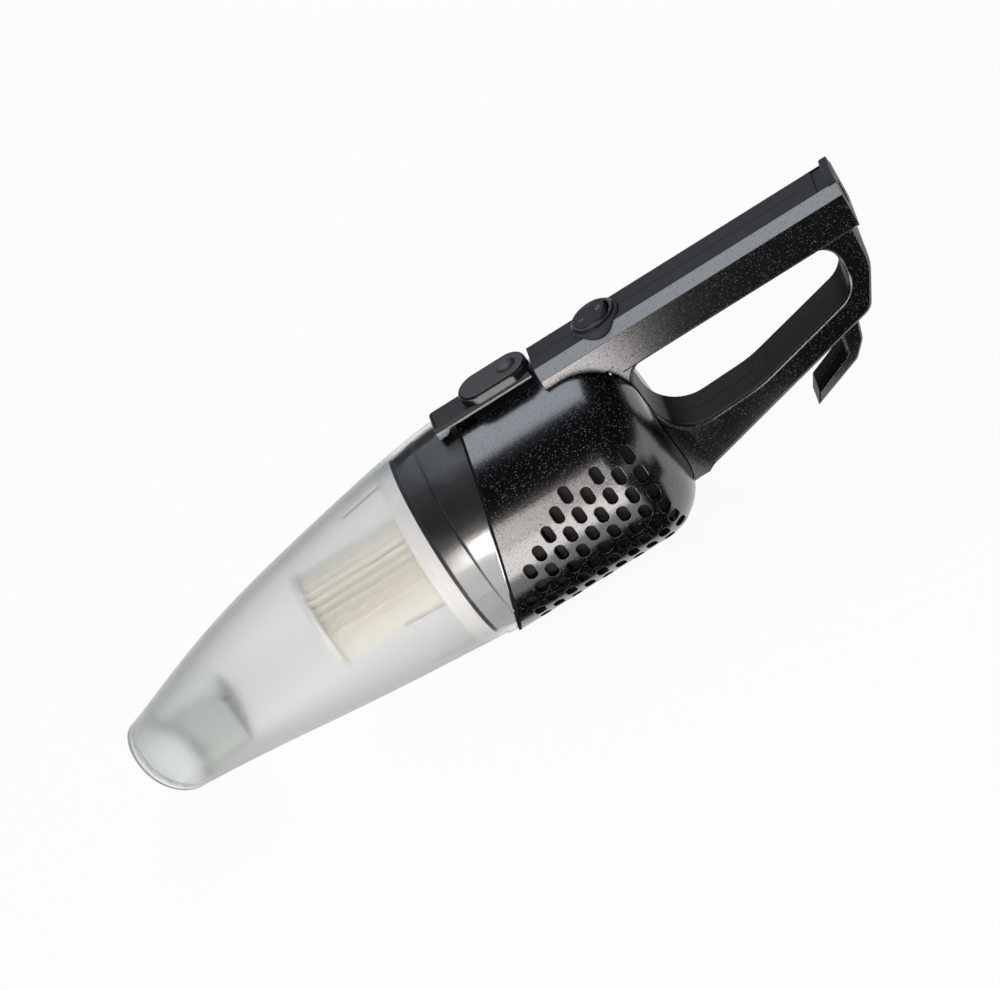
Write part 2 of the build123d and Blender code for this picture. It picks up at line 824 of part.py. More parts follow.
def seal_ring(section_radius):
    """A ring round the collar, sunk so that it stays clear of the cup."""
    narrowing = (cup_rim_radius - cup_mouth_half_width) * cup_width_shares[2]
    slope = narrowing / (cup_length * cup_station_shares[2])
    ring_radius = cup_rim_radius - collar_inset + collar_seal_x * slope - collar_seal_sink
    return Pos(collar_seal_x, 0, 0) * Rot(0, 90, 0) * Torus(ring_radius, section_radius)


def make_collar_seal():
    """The rubber ring round the collar."""
    return seal_ring(collar_seal_radius)


def make_filter_base():
    """The filter's base: a skirted disc with its outlet and the inner core bars."""
    skirt_end = filter_base_x + filter_skirt_length
    base = cup_slice(collar_inset, filter_base_x, skirt_end)
    floor_x = filter_base_x + filter_base_thickness
    hollow = cup_slice(collar_inset + filter_skirt_wall, floor_x, skirt_end + over)
    outlet = rod_x(filter_base_x - over, skirt_end, filter_outlet_radius)
    bar = Pos(0, filter_bar_place, 0) * rod_x(filter_cap_x, floor_x, filter_core_bar_radius)
    return base - hollow - outlet + round_pattern(bar, filter_core_bar_count)


def pleat_ring(shift):
    """The zigzag outline of the pleated paper, drawn in by a shift."""
    points = []
    for i in range(2 * filter_pleat_count):
        radius = filter_radius - shift - filter_pleat_depth * (i % 2)
        turn = math.pi * i / filter_pleat_count
        points.append((radius * math.cos(turn), radius * math.sin(turn)))
    return make_face(Polyline(*points, close=True))


def make_filter_pleats():
    """The pleated paper between the base and the end cap."""
    plane = Plane((filter_cap_x + filter_cap_thickness, 0, 0), x_dir=(0, 1, 0), z_dir=(1, 0, 0))
    paper = plane * (pleat_ring(0) - pleat_ring(filter_paper))
    return extrude(paper, filter_length - filter_cap_thickness)


def make_filter_cap():
    """The end cap that closes the pleated paper."""
    plate = rod_x(filter_cap_x, filter_cap_x + filter_cap_thickness, filter_radius + filter_cap_lip)
    rim = plate.edges().filter_by(GeomType.CIRCLE).sort_by(Axis.X)[0]
    plate = fillet(rim, filter_cap_lip)
    end = filter_cap_x + filter_cap_thickness
    hole = rod_x(filter_cap_x - over, end + over, filter_core_bar_radius + running_gap)
    hole = Pos(0, filter_bar_place, 0) * hole
    return plate - round_pattern(hole, filter_core_bar_count)


def make_filter_gasket():
    """The soft ring between the filter's skirt and the collar."""
    start = -collar_reach - filter_gasket_thickness
    ring = cup_slice(collar_inset + move_gap, start, -collar_reach)
    return ring - cup_slice(collar_inset + filter_gasket_width, start - over, over - collar_reach)


def make_fan_shroud():
    """The pressed shell round the fan, with its inlet eye."""
    shell = rod_x(shroud_front_x, shroud_rear_x, shroud_radius)
    rim = shell.edges().filter_by(GeomType.CIRCLE).sort_by(Axis.X)[0]
    shell = fillet(rim, shroud_gap)
    hollow = rod_x(shroud_front_x + shroud_sheet, shroud_rear_x + over, shroud_radius - shroud_sheet)
    rim = hollow.edges().filter_by(GeomType.CIRCLE).sort_by(Axis.X)[0]
    hollow = fillet(rim, shroud_gap - shroud_sheet)
    return shell - hollow - rod_x(shroud_front_x - over, impeller_x, eye_radius)


def impeller_blade_face():
    """One backward-curved blade, in the plane across the shaft."""
    span = impeller_radius - impeller_hub_radius
    centre = (impeller_hub_radius + span / 2, -impeller_blade_curve_radius)
    swing = math.degrees(math.asin(span / 2 / impeller_blade_curve_radius))
    outer = CenterArc(centre, impeller_blade_curve_radius + impeller_blade, 90 - swing, 2 * swing)
    inner = CenterArc(centre, impeller_blade_curve_radius, 90 - swing, 2 * swing)
    ends = [Line(outer @ 0, inner @ 0), Line(outer @ 1, inner @ 1)]
    return make_face([outer, inner, *ends])


def make_impeller():
    """The fan wheel: hub, back plate, curved blades and front plate with its eye."""
    end = impeller_x + impeller_depth
    back = rod_x(end - impeller_plate, end, impeller_radius)
    front = tube_x(impeller_x, impeller_x + impeller_plate, impeller_radius, impeller_eye_radius)
    hub = rod_x(impeller_x + impeller_plate, end, impeller_hub_radius)
    plane = Plane((impeller_x + impeller_plate / 2, 0, 0), x_dir=(0, 1, 0), z_dir=(1, 0, 0))
    blade = extrude(plane * impeller_blade_face(), impeller_depth - impeller_plate)
    rim = rod_x(impeller_x, end, impeller_radius)
    blades = [piece & rim for piece in round_pattern(blade, impeller_blade_count)]
    return back + front + hub + blades - rod_x(impeller_x - over, end + over, shaft_radius)


def make_impeller_nut():
    """The nut that holds the fan wheel on the shaft."""
    start = impeller_x + impeller_plate - nut_length
    plane = Plane((start, 0, 0), x_dir=(0, 1, 0), z_dir=(1, 0, 0))
    nut = extrude(plane * RegularPolygon(nut_radius, nut_side_count), nut_length)
    return nut - rod_x(start - over, start + nut_length + over, shaft_radius)


def make_motor_shaft():
    """The shaft from the fan wheel to the rear bearing."""
    return rod_x(impeller_x - nut_length, shaft_end_x, shaft_radius)


def make_front_bracket():
    """The bracket behind the fan: disc, air windows, bearing boss and the motor's skirt."""
    disc = rod_x(bracket_x, shroud_rear_x, shroud_radius - shroud_sheet - seat_gap)
    boss = rod_x(shroud_rear_x, front_bearing_x + bearing_length, boss_radius_motor)
    skirt = tube_x(shroud_rear_x, stator_end_x, frame_radius, stator_radius)
    port_radius = (shroud_radius - shroud_sheet - frame_radius) * port_share
    port = rod_x(bracket_x - over, shroud_rear_x + over, port_radius)
    port = Pos(0, frame_radius + port_radius + frame_wall, 0) * port
    windows = round_pattern(port, port_count)
    seat = rod_x(front_bearing_x, front_bearing_x + bearing_length + over, bearing_radius)
    hole = rod_x(bracket_x - over, shroud_rear_x + over, shaft_radius + move_gap)
    slot = block(
        (shroud_rear_x + frame_wall, -stator_slot_half_width, 0),
        (stator_x - frame_wall, stator_slot_half_width, frame_radius + over),
    )
    return disc + boss + skirt - windows - seat - hole - round_pattern(slot, frame_slot_count)


def make_bearing(start):
    """A ball bearing, as its ring."""
    return tube_x(start, start + bearing_length, bearing_radius, shaft_radius)


def make_stator_core():
    """The laminated stator with its two pole gaps."""
    core = tube_x(stator_x, stator_end_x, stator_radius, stator_bore)
    pocket = block(
        (stator_x - over, -stator_slot_half_width, 0),
        (stator_end_x + over, stator_slot_half_width, stator_bore + coil_thickness),
    )
    return core - pocket - Rot(180, 0, 0) * pocket


def make_field_coils():
    """The two field coils: bars through the stator's pockets and flat end turns."""
    half = stator_slot_half_width - coil_gap
    wind = winding_length - coil_gap
    coil = block(
        (stator_x - wind, -half, stator_bore),
        (stator_end_x + wind, half, stator_bore + coil_thickness - coil_gap),
    )
    return group([coil, Rot(180, 0, 0) * coil])


def make_armature():
    """The slotted armature stack."""
    core = rod_x(stator_x, stator_end_x, armature_radius)
    half = armature_slot_width / 2
    slot = block(
        (stator_x - over, -half, armature_radius - armature_slot_depth),
        (stator_end_x + over, half, armature_radius + over),
    )
    bore = rod_x(stator_x - over, stator_end_x + over, shaft_radius)
    return core - round_pattern(slot, armature_slot_count) - bore


def make_armature_windings():
    """The end turns of the armature's windings."""
    ends = []
    for start in (stator_x - winding_length, stator_end_x):
        ring = tube_x(start, start + winding_length, winding_radius, shaft_radius)
        ends.append(ring)
    return group(ends)


def make_commutator():
    """The commutator with its bars parted by fine cuts."""
    end = commutator_x + commutator_length
    drum = tube_x(commutator_x, end, commutator_radius, shaft_radius)
    half = commutator_cut / 2
    floor = commutator_radius - 2 * commutator_cut
    cut = block((commutator_x - over, -half, floor), (end + over, half, stator_radius))
    return drum - round_pattern(cut, commutator_bar_count)


def brush_block(width, height, start, end):
    """A bar across the commutator, on the +Y side."""
    x = commutator_x + commutator_length / 2
    return block((x - width / 2, start, -height / 2), (x + width / 2, end, height / 2))


def make_carbon_brushes():
    """The two carbon brushes."""
    start = commutator_radius + running_gap
    brush = brush_block(brush_width, brush_height, start, start + brush_length)
    return group([brush, mirror(brush, about=Plane.XZ)])


def make_brush_holders():
    """The brass sheaths that guide the brushes through the rear bracket."""
    start = commutator_radius + brush_sheath
    end = start + brush_length + brush_sheath
    wide = 2 * brush_sheath
    free = 2 * running_gap
    outer = brush_block(brush_width + wide, brush_height + wide, start, end + brush_sheath)
    inner = brush_block(brush_width + free, brush_height + free, start - over, end)
    sheath = outer - inner
    return group([sheath, mirror(sheath, about=Plane.XZ)])


def make_rear_bracket():
    """The bracket behind the stator: skirt, brush windows, end plate and bearing boss."""
    skirt = tube_x(stator_end_x, frame_end_x, frame_radius, stator_radius)
    plate = rod_x(rear_bearing_x, frame_end_x, frame_radius)
    boss = rod_x(rear_bearing_x, shaft_end_x + boss_wall, boss_radius_motor)
    seat = rod_x(rear_bearing_x - over, shaft_end_x, bearing_radius)
    width = brush_width + 2 * brush_sheath + 2 * running_gap
    height = brush_height + 2 * brush_sheath + 2 * running_gap
    window = brush_block(width, height, 0, frame_radius + over)
    vent = block(
        (rear_bearing_x - over, -stator_slot_half_width / 2, boss_radius_motor + frame_wall),
        (frame_end_x + over, stator_slot_half_width / 2, stator_radius - frame_wall),
    )
    vent = Rot(frame_vent_turn, 0, 0) * vent
    vents = round_pattern(vent, frame_slot_count)
    return skirt + plate + boss - seat - window - mirror(window, about=Plane.XZ) - vents


def make_front_mount():
    """The rubber ring between the fan shroud and the collar."""
    start = collar_depth - collar_foot_length - front_mount_length
    outer = cup_slice(collar_inset + collar_wall + seat_gap, start, start + front_mount_length)
    return outer - rod_x(start - over, start + front_mount_length + over, shroud_radius + seat_gap)


def make_rear_mount():
    """The rubber cup between the rear bearing boss and the body's end."""
    start = frame_end_x + seat_gap
    end = body_length - body_wall - seat_gap
    cup = rod_x(start, end, boss_radius_motor + rear_mount_wall)
    return cup - rod_x(start - over, shaft_end_x + boss_wall + seat_gap, boss_radius_motor + seat_gap)


def make_top_strip():
    """The satin strip along the handle's top: centre groove, switch boss, notch and rear lip."""
    end = bar_end_x
    strip = block(
        (bar_front_x, -strip_half_width, bar_top - strip_thickness),
        (end, strip_half_width, bar_top),
    )
    notch_x = end - lip_length
    lip = block(
        (notch_x, -strip_half_width, bar_top - strip_thickness),
        (end, strip_half_width, bar_top + lip_height),
    )
    lip = chamfer(lip.edges().filter_by(Axis.Y).group_by(Axis.Z)[-1].sort_by(Axis.X)[0], lip_edge)
    notch = block(
        (notch_x - notch_length, -strip_half_width - over, bar_top - notch_depth),
        (notch_x, strip_half_width + over, bar_top + over),
    )
    half = strip_groove / 2
    groove = block(
        (bar_front_x - over, -half, bar_top - strip_groove),
        (notch_x - notch_length, half, bar_top + over),
    )
    boss = rod_z(switch_x, 0, bar_top - switch_boss_depth, switch_face_z, switch_boss_radius)
    boss = chamfer(boss.edges().filter_by(GeomType.CIRCLE).sort_by(Axis.Z)[-1], switch_boss_edge)
    low = bar_top - switch_boss_depth - over
    hole = rod_z(switch_x, 0, low, switch_face_z + over, switch_radius + seat_gap)
    return strip - groove - notch + lip + boss - hole


def make_switch_body():
    """The round switch case with its bezel, the rocker's well and the pivot bores."""
    case = rod_z(switch_x, 0, switch_face_z - switch_depth, switch_face_z, switch_radius)
    bezel = rod_z(switch_x, 0, switch_face_z, switch_face_z + switch_bezel_height, switch_bezel_radius)
    bezel = chamfer(bezel.edges().filter_by(GeomType.CIRCLE).sort_by(Axis.Z)[-1], switch_bezel_height / 2)
    half = switch_well_half_width
    wide = switch_well_radius
    slab = block(
        (switch_x - wide, -half, switch_face_z - switch_well_depth),
        (switch_x + wide, half, switch_face_z + switch_bezel_height + over),
    )
    well = slab & rod_z(switch_x, 0, switch_face_z - switch_depth, switch_face_z + switch_depth, wide)
    reach = rocker_half_width + rocker_pin_reach + running_gap
    bore = rod_y(switch_x, rocker_pivot_z, -reach, reach, rocker_pin_radius + running_gap)
    return case + bezel - well - bore


def make_switch_terminals():
    """The blades under the switch."""
    top = switch_face_z - switch_depth
    blades = []
    for shift in (-terminal_pitch, 0, terminal_pitch):
        x = switch_x + shift
        low = (x - terminal_thickness / 2, -terminal_width / 2, top - terminal_length)
        high = (x + terminal_thickness / 2, terminal_width / 2, top)
        blades.append(block(low, high))
    return group(blades)


def make_switch_rocker():
    """The rocker: a round paddle with flats, dished on top, rear end up."""
    top = switch_face_z + switch_bezel_height
    points = [
        (switch_x - rocker_radius, top + rocker_rise),
        (switch_x, top),
        (switch_x + rocker_radius, top + rocker_rise),
        (switch_x + rocker_radius, top + rocker_rise - rocker_thickness / 2),
        (switch_x, top + rocker_rise - rocker_thickness - rocker_rise),
        (switch_x - rocker_radius, top + rocker_rise - rocker_thickness / 2),
    ]
    paddle = side_prism(side_face(points), rocker_half_width)
    paddle = paddle & rod_z(switch_x, 0, bar_floor, bar_top + bar_height, rocker_radius)
    reach = rocker_half_width + rocker_pin_reach
    paddle = paddle + rod_y(switch_x, rocker_pivot_z, -reach, reach, rocker_pin_radius)
    pivot = Pos(switch_x, 0, rocker_pivot_z)
    return pivot * Rot(0, -rocker_tilt, 0) * pivot.inverse() * paddle


def make_latch_lever():
    """The latch lever: a bar with a down-turned tooth over the cup's rim."""
    tooth_z = lever_bottom - lever_tooth + move_gap
    points = [
        (lever_front_x, tooth_z),
        (lever_front_x, lever_top),
        (lever_rear_x, lever_top),
        (lever_rear_x, lever_bottom),
        (lever_front_x + lever_thickness + lever_tooth, lever_bottom),
        (lever_front_x + lever_thickness, tooth_z),
    ]
    lever = side_prism(side_face(points, [0, lever_nose_round, 0, 0, 0, 0]), lever_half_width)
    slot = block(
        (pivot_x - lug_half_length - over, -lug_half_width - move_gap, lever_bottom - over),
        (pivot_x + lug_half_length + over, lug_half_width + move_gap, lever_top + over),
    )
    rim = cup_form(-cup_bead_height - move_gap)
    reach = pin_reach + seat_gap
    bore = rod_y(pivot_x, pivot_z, -reach, reach, pivot_radius + running_gap)
    return lever - slot - bore - rim


def make_release_button():
    """The thumb pad on the lever, with a dimple near its rear end."""
    plane = Plane((button_rear_x - button_length / 2, 0, lever_top))
    pad = extrude(plane * SlotOverall(button_length, 2 * button_half_width), button_height)
    pad = fillet(pad.faces().sort_by(Axis.Z)[-1].edges(), button_edge)
    ball_z = lever_top + button_height + button_dimple_radius - button_dimple_depth
    dimple = Pos(button_rear_x - button_dimple_inset, 0, ball_z) * Sphere(button_dimple_radius)
    return pad - dimple


def make_latch_pin():
    """The pivot pin through the saddle's lug, hidden in the lever at both ends."""
    return rod_y(pivot_x, pivot_z, -pin_reach, pin_reach, pivot_radius)


def make_latch_spring():
    """The leaf spring that bows up from the saddle to the lever's underside."""
    base = body_radius + seat_gap
    high = lever_bottom - leaf_rise_gap
    rise = high - base - leaf_thickness
    start = (leaf_start_x, base)
    end = (leaf_start_x + leaf_length, base)
    middle = (leaf_start_x + leaf_length / 2, base + rise)
    lift = leaf_thickness
    lower = ThreePointArc(start, middle, end)
    upper = ThreePointArc((start[0], base + lift), (middle[0], middle[1] + lift), (end[0], base + lift))
    face = make_face([lower, upper, Line(lower @ 0, upper @ 0), Line(lower @ 1, upper @ 1)])
    return side_prism(Plane.XZ * face, leaf_half_width)


def make_cord_gland():
    """The bush in the bar's rear end that the mains lead passes through."""
    face_x = bar_end_x - bar_end_lean - gland_recess
    flange_x = face_x - gland_length
    bush = rod_x(flange_x, face_x, gland_radius)
    bush = bush + rod_x(flange_x, flange_x + gland_flange, gland_flange_radius)
    bush = bush - rod_x(flange_x - over, face_x + over, gland_bore)
    return Pos(0, 0, bar_middle) * bush


def main():
    """Build every piece, move it to the part's origin and write it."""
    handle_near, handle_far = make_handles()
    pieces = {
        "motor_body": make_motor_body(),
        "handle_near": handle_near,
        "handle_far": handle_far,
        "handle_screws": make_handle_screws(),
        "top_strip": make_top_strip(),
        "exhaust_baffles": make_exhaust_baffles(),
        "front_collar": make_front_collar(),
        "collar_seal": make_collar_seal(),
        "fan_shroud": make_fan_shroud(),
        "front_bracket": make_front_bracket(),
        "rear_bracket": make_rear_bracket(),
        "front_bearing": make_bearing(front_bearing_x),
        "rear_bearing": make_bearing(rear_bearing_x),
        "stator_core": make_stator_core(),
        "field_coils": make_field_coils(),
        "brush_holders": make_brush_holders(),
        "carbon_brushes": make_carbon_brushes(),
        "front_mount": make_front_mount(),
        "rear_mount": make_rear_mount(),
        "switch_body": make_switch_body(),
        "switch_terminals": make_switch_terminals(),
        "latch_pin": make_latch_pin(),
        "latch_spring": make_latch_spring(),
        "cord_gland": make_cord_gland(),
        "motor_shaft": make_motor_shaft(),
        "armature": make_armature(),
        "armature_windings": make_armature_windings(),
        "commutator": make_commutator(),
        "impeller": make_impeller(),
        "impeller_nut": make_impeller_nut(),
        "dust_cup": make_dust_cup(),
        "inlet_duct": make_inlet_duct(),
        "flap_pin": make_flap_pin(),
        "inlet_flap": make_inlet_flap(),
        "filter_base": make_filter_base(),
        "filter_pleats": make_filter_pleats(),
        "filter_cap": make_filter_cap(),
        "filter_gasket": make_filter_gasket(),
        "latch_lever": make_latch_lever(),
        "release_button": make_release_button(),
        "switch_rocker": make_switch_rocker(),
    }
    os.makedirs("parts", exist_ok=True)
    home = Pos(*(-Vector(*origin)))
    for name, piece in pieces.items():
        export_step(home * piece, f"parts/{name}.step")
        print(name, round(piece.volume))


if __name__ == "__main__":
    main()
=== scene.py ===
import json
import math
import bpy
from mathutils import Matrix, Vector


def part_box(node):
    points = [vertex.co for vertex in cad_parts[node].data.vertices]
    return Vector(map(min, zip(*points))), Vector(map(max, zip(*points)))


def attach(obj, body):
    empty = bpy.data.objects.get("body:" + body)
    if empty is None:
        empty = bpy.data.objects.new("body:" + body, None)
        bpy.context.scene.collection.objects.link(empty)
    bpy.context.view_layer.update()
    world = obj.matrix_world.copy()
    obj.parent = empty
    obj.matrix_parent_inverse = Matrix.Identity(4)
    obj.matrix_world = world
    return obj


bl_info = {
    "name": "Hand Vacuum Finish",
    "version": (1, 0, 0),
    "blender": (4, 5, 0),
    "location": "View3D > Sidebar > Hand Vacuum",
    "description": "Finishes the parts of a hand-held vacuum cleaner and sets a plain studio round them",
    "category": "Object",
}

import bmesh
import bpy
from bpy.props import FloatProperty, FloatVectorProperty, PointerProperty
from mathutils import Matrix, Vector

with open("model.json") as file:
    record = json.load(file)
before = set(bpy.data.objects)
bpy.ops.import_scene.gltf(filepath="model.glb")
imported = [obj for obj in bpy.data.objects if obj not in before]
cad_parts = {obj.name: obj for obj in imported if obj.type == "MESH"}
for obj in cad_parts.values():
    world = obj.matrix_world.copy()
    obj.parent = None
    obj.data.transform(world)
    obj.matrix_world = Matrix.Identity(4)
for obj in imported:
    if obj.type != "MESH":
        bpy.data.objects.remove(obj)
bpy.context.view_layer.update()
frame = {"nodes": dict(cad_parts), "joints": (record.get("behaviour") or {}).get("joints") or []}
nodes = frame["nodes"]
joints = {joint["name"]: joint for joint in frame["joints"]}

MILLIMETRE = 0.001
SIDEWAYS = (0, 1, 0)
UPWARD = (0, 0, 1)

# Slant of the cup's seam from upright, in degrees
SEAM_SLANT = 16.6

# The rocker: how far it leans at rest and how steep its dish is, in degrees, and how high its marks lie
ROCKER_LEAN = 8.0
ROCKER_DISH = 10.4
MARK_HEIGHT = 3.83 * MILLIMETRE

# Near-black painted shade for what shows only through slots and gaps: the motor body's inside, the band
# along its front seam, the collar's sleeve and the baffles
PAINTED_SHADE_BLACK = (0.006, 0.006, 0.006)
MATTE_ROUGHNESS = 0.8

# Depth of the fine grain in the surfaces
MOULD_GRAIN = 0.03 * MILLIMETRE
SATIN_GRAIN = 0.02 * MILLIMETRE
LATCH_GRAIN = 0.01 * MILLIMETRE
METAL_GRAIN = 0.004 * MILLIMETRE
GLOSS_GRAIN = 0.002 * MILLIMETRE
PAPER_GRAIN = 0.05 * MILLIMETRE

# Heights in the studio: the floor, the flags and the light panel just under the object, and the lamps' aim
FLOOR_HEIGHT = -1.0 * MILLIMETRE
PANEL_HEIGHT = -0.7 * MILLIMETRE
FLAG_HEIGHT = -0.5 * MILLIMETRE
AIM_HEIGHT = 60 * MILLIMETRE

# Tints of the lamps and the room
WHITE_LIGHT = (1.0, 1.0, 1.0)
COOL_LIGHT = (0.86, 0.93, 1.0)
WARM_LIGHT = (1.0, 0.94, 0.89)
SOFT_LIGHT = (1.0, 0.99, 0.97)
ROOM_LIGHT = (0.95, 0.97, 1.0)

# Corners of the dark flags on the floor in front, which paint dark reflections, in metres: by the barrel, by
# the handle, and further out
BARREL_FLAG = ((-0.053, -0.034), (-0.053, -0.066), (-0.013, -0.072), (0.072, -0.078), (0.072, -0.034))
HANDLE_FLAG = (
    (0.072, -0.040),
    (0.072, -0.105),
    (0.080, -0.105),
    (0.080, -0.165),
    (0.247, -0.165),
    (0.247, -0.050),
    (0.150, -0.050),
    (0.135, -0.072),
    (0.085, -0.047),
)
OUTER_FLAG = (
    (0.077, -0.165),
    (0.060, -0.235),
    (0.019, -0.404),
    (-0.023, -0.600),
    (0.387, -0.600),
    (0.387, -0.165),
)


def colour(name, words, default):
    """A colour that a user may change."""
    return FloatVectorProperty(
        name=name, description=words, default=default, subtype="COLOR", size=3, min=0, max=1
    )


def share(name, words, default):
    """A share from 0 to 1 that a user may change."""
    return FloatProperty(name=name, description=words, default=default, subtype="FACTOR", min=0, max=1)


def amount(name, words, default):
    """A plain amount from 0 to 2 that a user may change."""
    return FloatProperty(name=name, description=words, default=default, min=0, max=2)


def length(name, words, default, **limits):
    """A length in metres that a user may change."""
    return FloatProperty(name=name, description=words, default=default, precision=5, unit="LENGTH", **limits)


def angle(name, words, degrees):
    """An angle that a user may change."""
    return FloatProperty(name=name, description=words, default=math.radians(degrees), subtype="ANGLE")


def power(name, words, watts):
    """The power of a lamp, which a user may change."""
    return FloatProperty(name=name, description=words, default=watts, unit="POWER")


class FinishSettings(bpy.types.PropertyGroup):
    """Colours and surface values of the finishes."""

    shell: colour("Shell", "Dark metal-flake coat of the motor body and the handle", (0.145, 0.144, 0.146))
    flake: colour("Flake", "Brightest flakes in the coat", (0.12, 0.125, 0.14))
    satin: colour("Satin", "Satin plastic of the strip, the latch and the rocker", (0.0095, 0.0094, 0.0099))
    collar: colour("Collar", "Polished dark collar inside the cup's rim", (0.56, 0.56, 0.565))
    gloss: colour("Gloss", "Gloss black plastic of the switch case", (0.012, 0.012, 0.013))
    cup: colour("Cup", "Frosted clear plastic of the dust cup", (0.85, 0.855, 0.855))
    nose: colour("Nose", "Thicker, greyer plastic at the cup's mouth", (0.80, 0.82, 0.80))
    edge: colour("Edge", "Plastic of the cup seen edge-on", (0.58, 0.59, 0.58))
    duct: colour("Duct", "Grey clear plastic of the inlet duct", (0.95, 0.965, 0.955))
    flap: colour("Flap", "Pale silicone of the inlet flap", (0.60, 0.61, 0.60))
    paper: colour("Paper", "Pleated filter paper", (0.92, 0.90, 0.83))
    white: colour("White", "White plastic of the filter frame", (0.84, 0.84, 0.82))
    rubber: colour("Rubber", "Black rubber of seals, mounts and the gland", (0.02, 0.02, 0.02))
    copper: colour("Copper", "Enamelled copper wire", (0.62, 0.27, 0.12))
    mark: colour("Mark", "Printed marks on the rocker", (0.30, 0.30, 0.31))
    cup_haze: share("Cup haze", "Roughness of the frosted part of the cup", 0.34)
    cup_clear: share("Cup clear band", "Roughness of the polished band at the cup's rim", 0.08)
    flake_size: length("Flake size", "Size of the flakes in the shell's coat", 0.0004, min=0.0001, max=0.003)
    flake_tilt: amount("Flake tilt", "How far the flakes lean out of the surface", 0.1)
    crown: amount("Crown", "How far the handle's sloped edges shade as if turned up", 0.8)
    edge_round: length("Edge round", "Rounding that edges show to the light", 0.0006, min=0, max=0.003)


class StudioSettings(bpy.types.PropertyGroup):
    """Camera, lamps and floor."""

    azimuth: angle("Azimuth", "Turn of the camera towards the handle end", 8.4)
    elevation: angle("Elevation", "Height of the camera above the level", 30.0)
    roll: angle("Roll", "Turn of the picture about the line of sight", 36.2)
    distance: length("Distance", "Distance from the camera to its aim", 20.0, min=0.2)
    view_width: length("View width", "Width that the picture covers at the aim", 0.4724, min=0.05)
    aim_x: length("Aim X", "Aim along the object", -0.00016)
    aim_z: length("Aim Z", "Aim above the floor", 0.06017)
    back_power: power("Back lamp", "Large lamp above and behind", 14.5)
    nose_power: power("Nose lamp", "Lamp at the nose end", 3.0)
    front_power: power("Front lamp", "Low lamp in front", 1.8)
    floor_power: power("Floor lamp", "Panel on the floor in front", 2.4)
    fill_power: power("Fill lamp", "Soft fill from the front", 14.5)
    room: share("Room", "Brightness of the dark room", 0.02)
    floor_size: length("Floor size", "Half width of the floor", 40.0)


def finishes():
    """The finish settings of this scene."""
    return bpy.context.scene.vacuum_finish


def studio():
    """The studio settings of this scene."""
    return bpy.context.scene.vacuum_studio


def add(tree, kind, **values):
    """A node with its plain properties set."""
    node = tree.nodes.new(kind)
    for name, value in values.items():
        setattr(node, name, value)
    return node


def shown(sockets):
    """The sockets that a node's present kind of sum or mix uses."""
    return [socket for socket in sockets if socket.enabled]


def feed(tree, socket, value):
    """Link a socket to another one, or set it to a constant."""
    if isinstance(value, bpy.types.NodeSocket):
        tree.links.new(value, socket)
    else:
        socket.default_value = value


def calc(tree, operation, *values):
    """The result of a sum on values. Each is a socket or a constant."""
    node = add(tree, "ShaderNodeMath", operation=operation)
    for socket, value in zip(node.inputs, values):
        feed(tree, socket, value)
    return node.outputs[0]


def vector_calc(tree, operation, *values):
    """The result of a sum on vectors. Each is a socket or a constant."""
    node = add(tree, "ShaderNodeVectorMath", operation=operation)
    for socket, value in zip(shown(node.inputs), values):
        feed(tree, socket, value)
    return shown(node.outputs)[0]


def mixed(tree, factor, first, second, kind="RGBA"):
    """A mix of two colours or values by a mask. Each is a socket or a constant."""
    node = add(tree, "ShaderNodeMix", data_type=kind)
    for socket, value in zip(shown(node.inputs), (factor, first, second)):
        feed(tree, socket, value)
    return shown(node.outputs)[0]


def smooth_span(tree, value, start, end, first=0.0, last=1.0):
    """A value that goes smoothly from first to last while another goes from start to end."""
    span = add(tree, "ShaderNodeMapRange", interpolation_type="SMOOTHSTEP")
    labels = ("Value", "From Min", "From Max", "To Min", "To Max")
    for label, setting in zip(labels, (value, start, end, first, last)):
        feed(tree, span.inputs[label], setting)
    return span.outputs["Result"]


def place_in(tree):
    """The place on the object, in metres."""
    return add(tree, "ShaderNodeTexCoord").outputs["Object"]


def normal_in(tree):
    """The surface normal in the object's own frame."""
    return add(tree, "ShaderNodeTexCoord").outputs["Normal"]


def part_of(tree, vector, axis):
    """One part of a vector: X, Y or Z."""
    axes = add(tree, "ShaderNodeSeparateXYZ")
    tree.links.new(vector, axes.inputs["Vector"])
    return axes.outputs[axis]


def new_group(name, inputs, outputs):
    """An empty shader group with named sockets, its input and output nodes returned too."""
    group = bpy.data.node_groups.new(name, "ShaderNodeTree")
    for label, kind, default in inputs:
        socket = group.interface.new_socket(label, in_out="INPUT", socket_type=kind)
        socket.default_value = default
    for label, kind in outputs:
        group.interface.new_socket(label, in_out="OUTPUT", socket_type=kind)
    return group, group.nodes.new("NodeGroupInput"), group.nodes.new("NodeGroupOutput")


def placed(tree, name, builder, **values):
    """A shader group placed in a material with its own values. It is built on first use."""
    group = bpy.data.node_groups.get(name) or builder(name)
    node = add(tree, "ShaderNodeGroup", node_tree=group)
    for label, value in values.items():
        feed(tree, node.inputs[label], value)
    return node


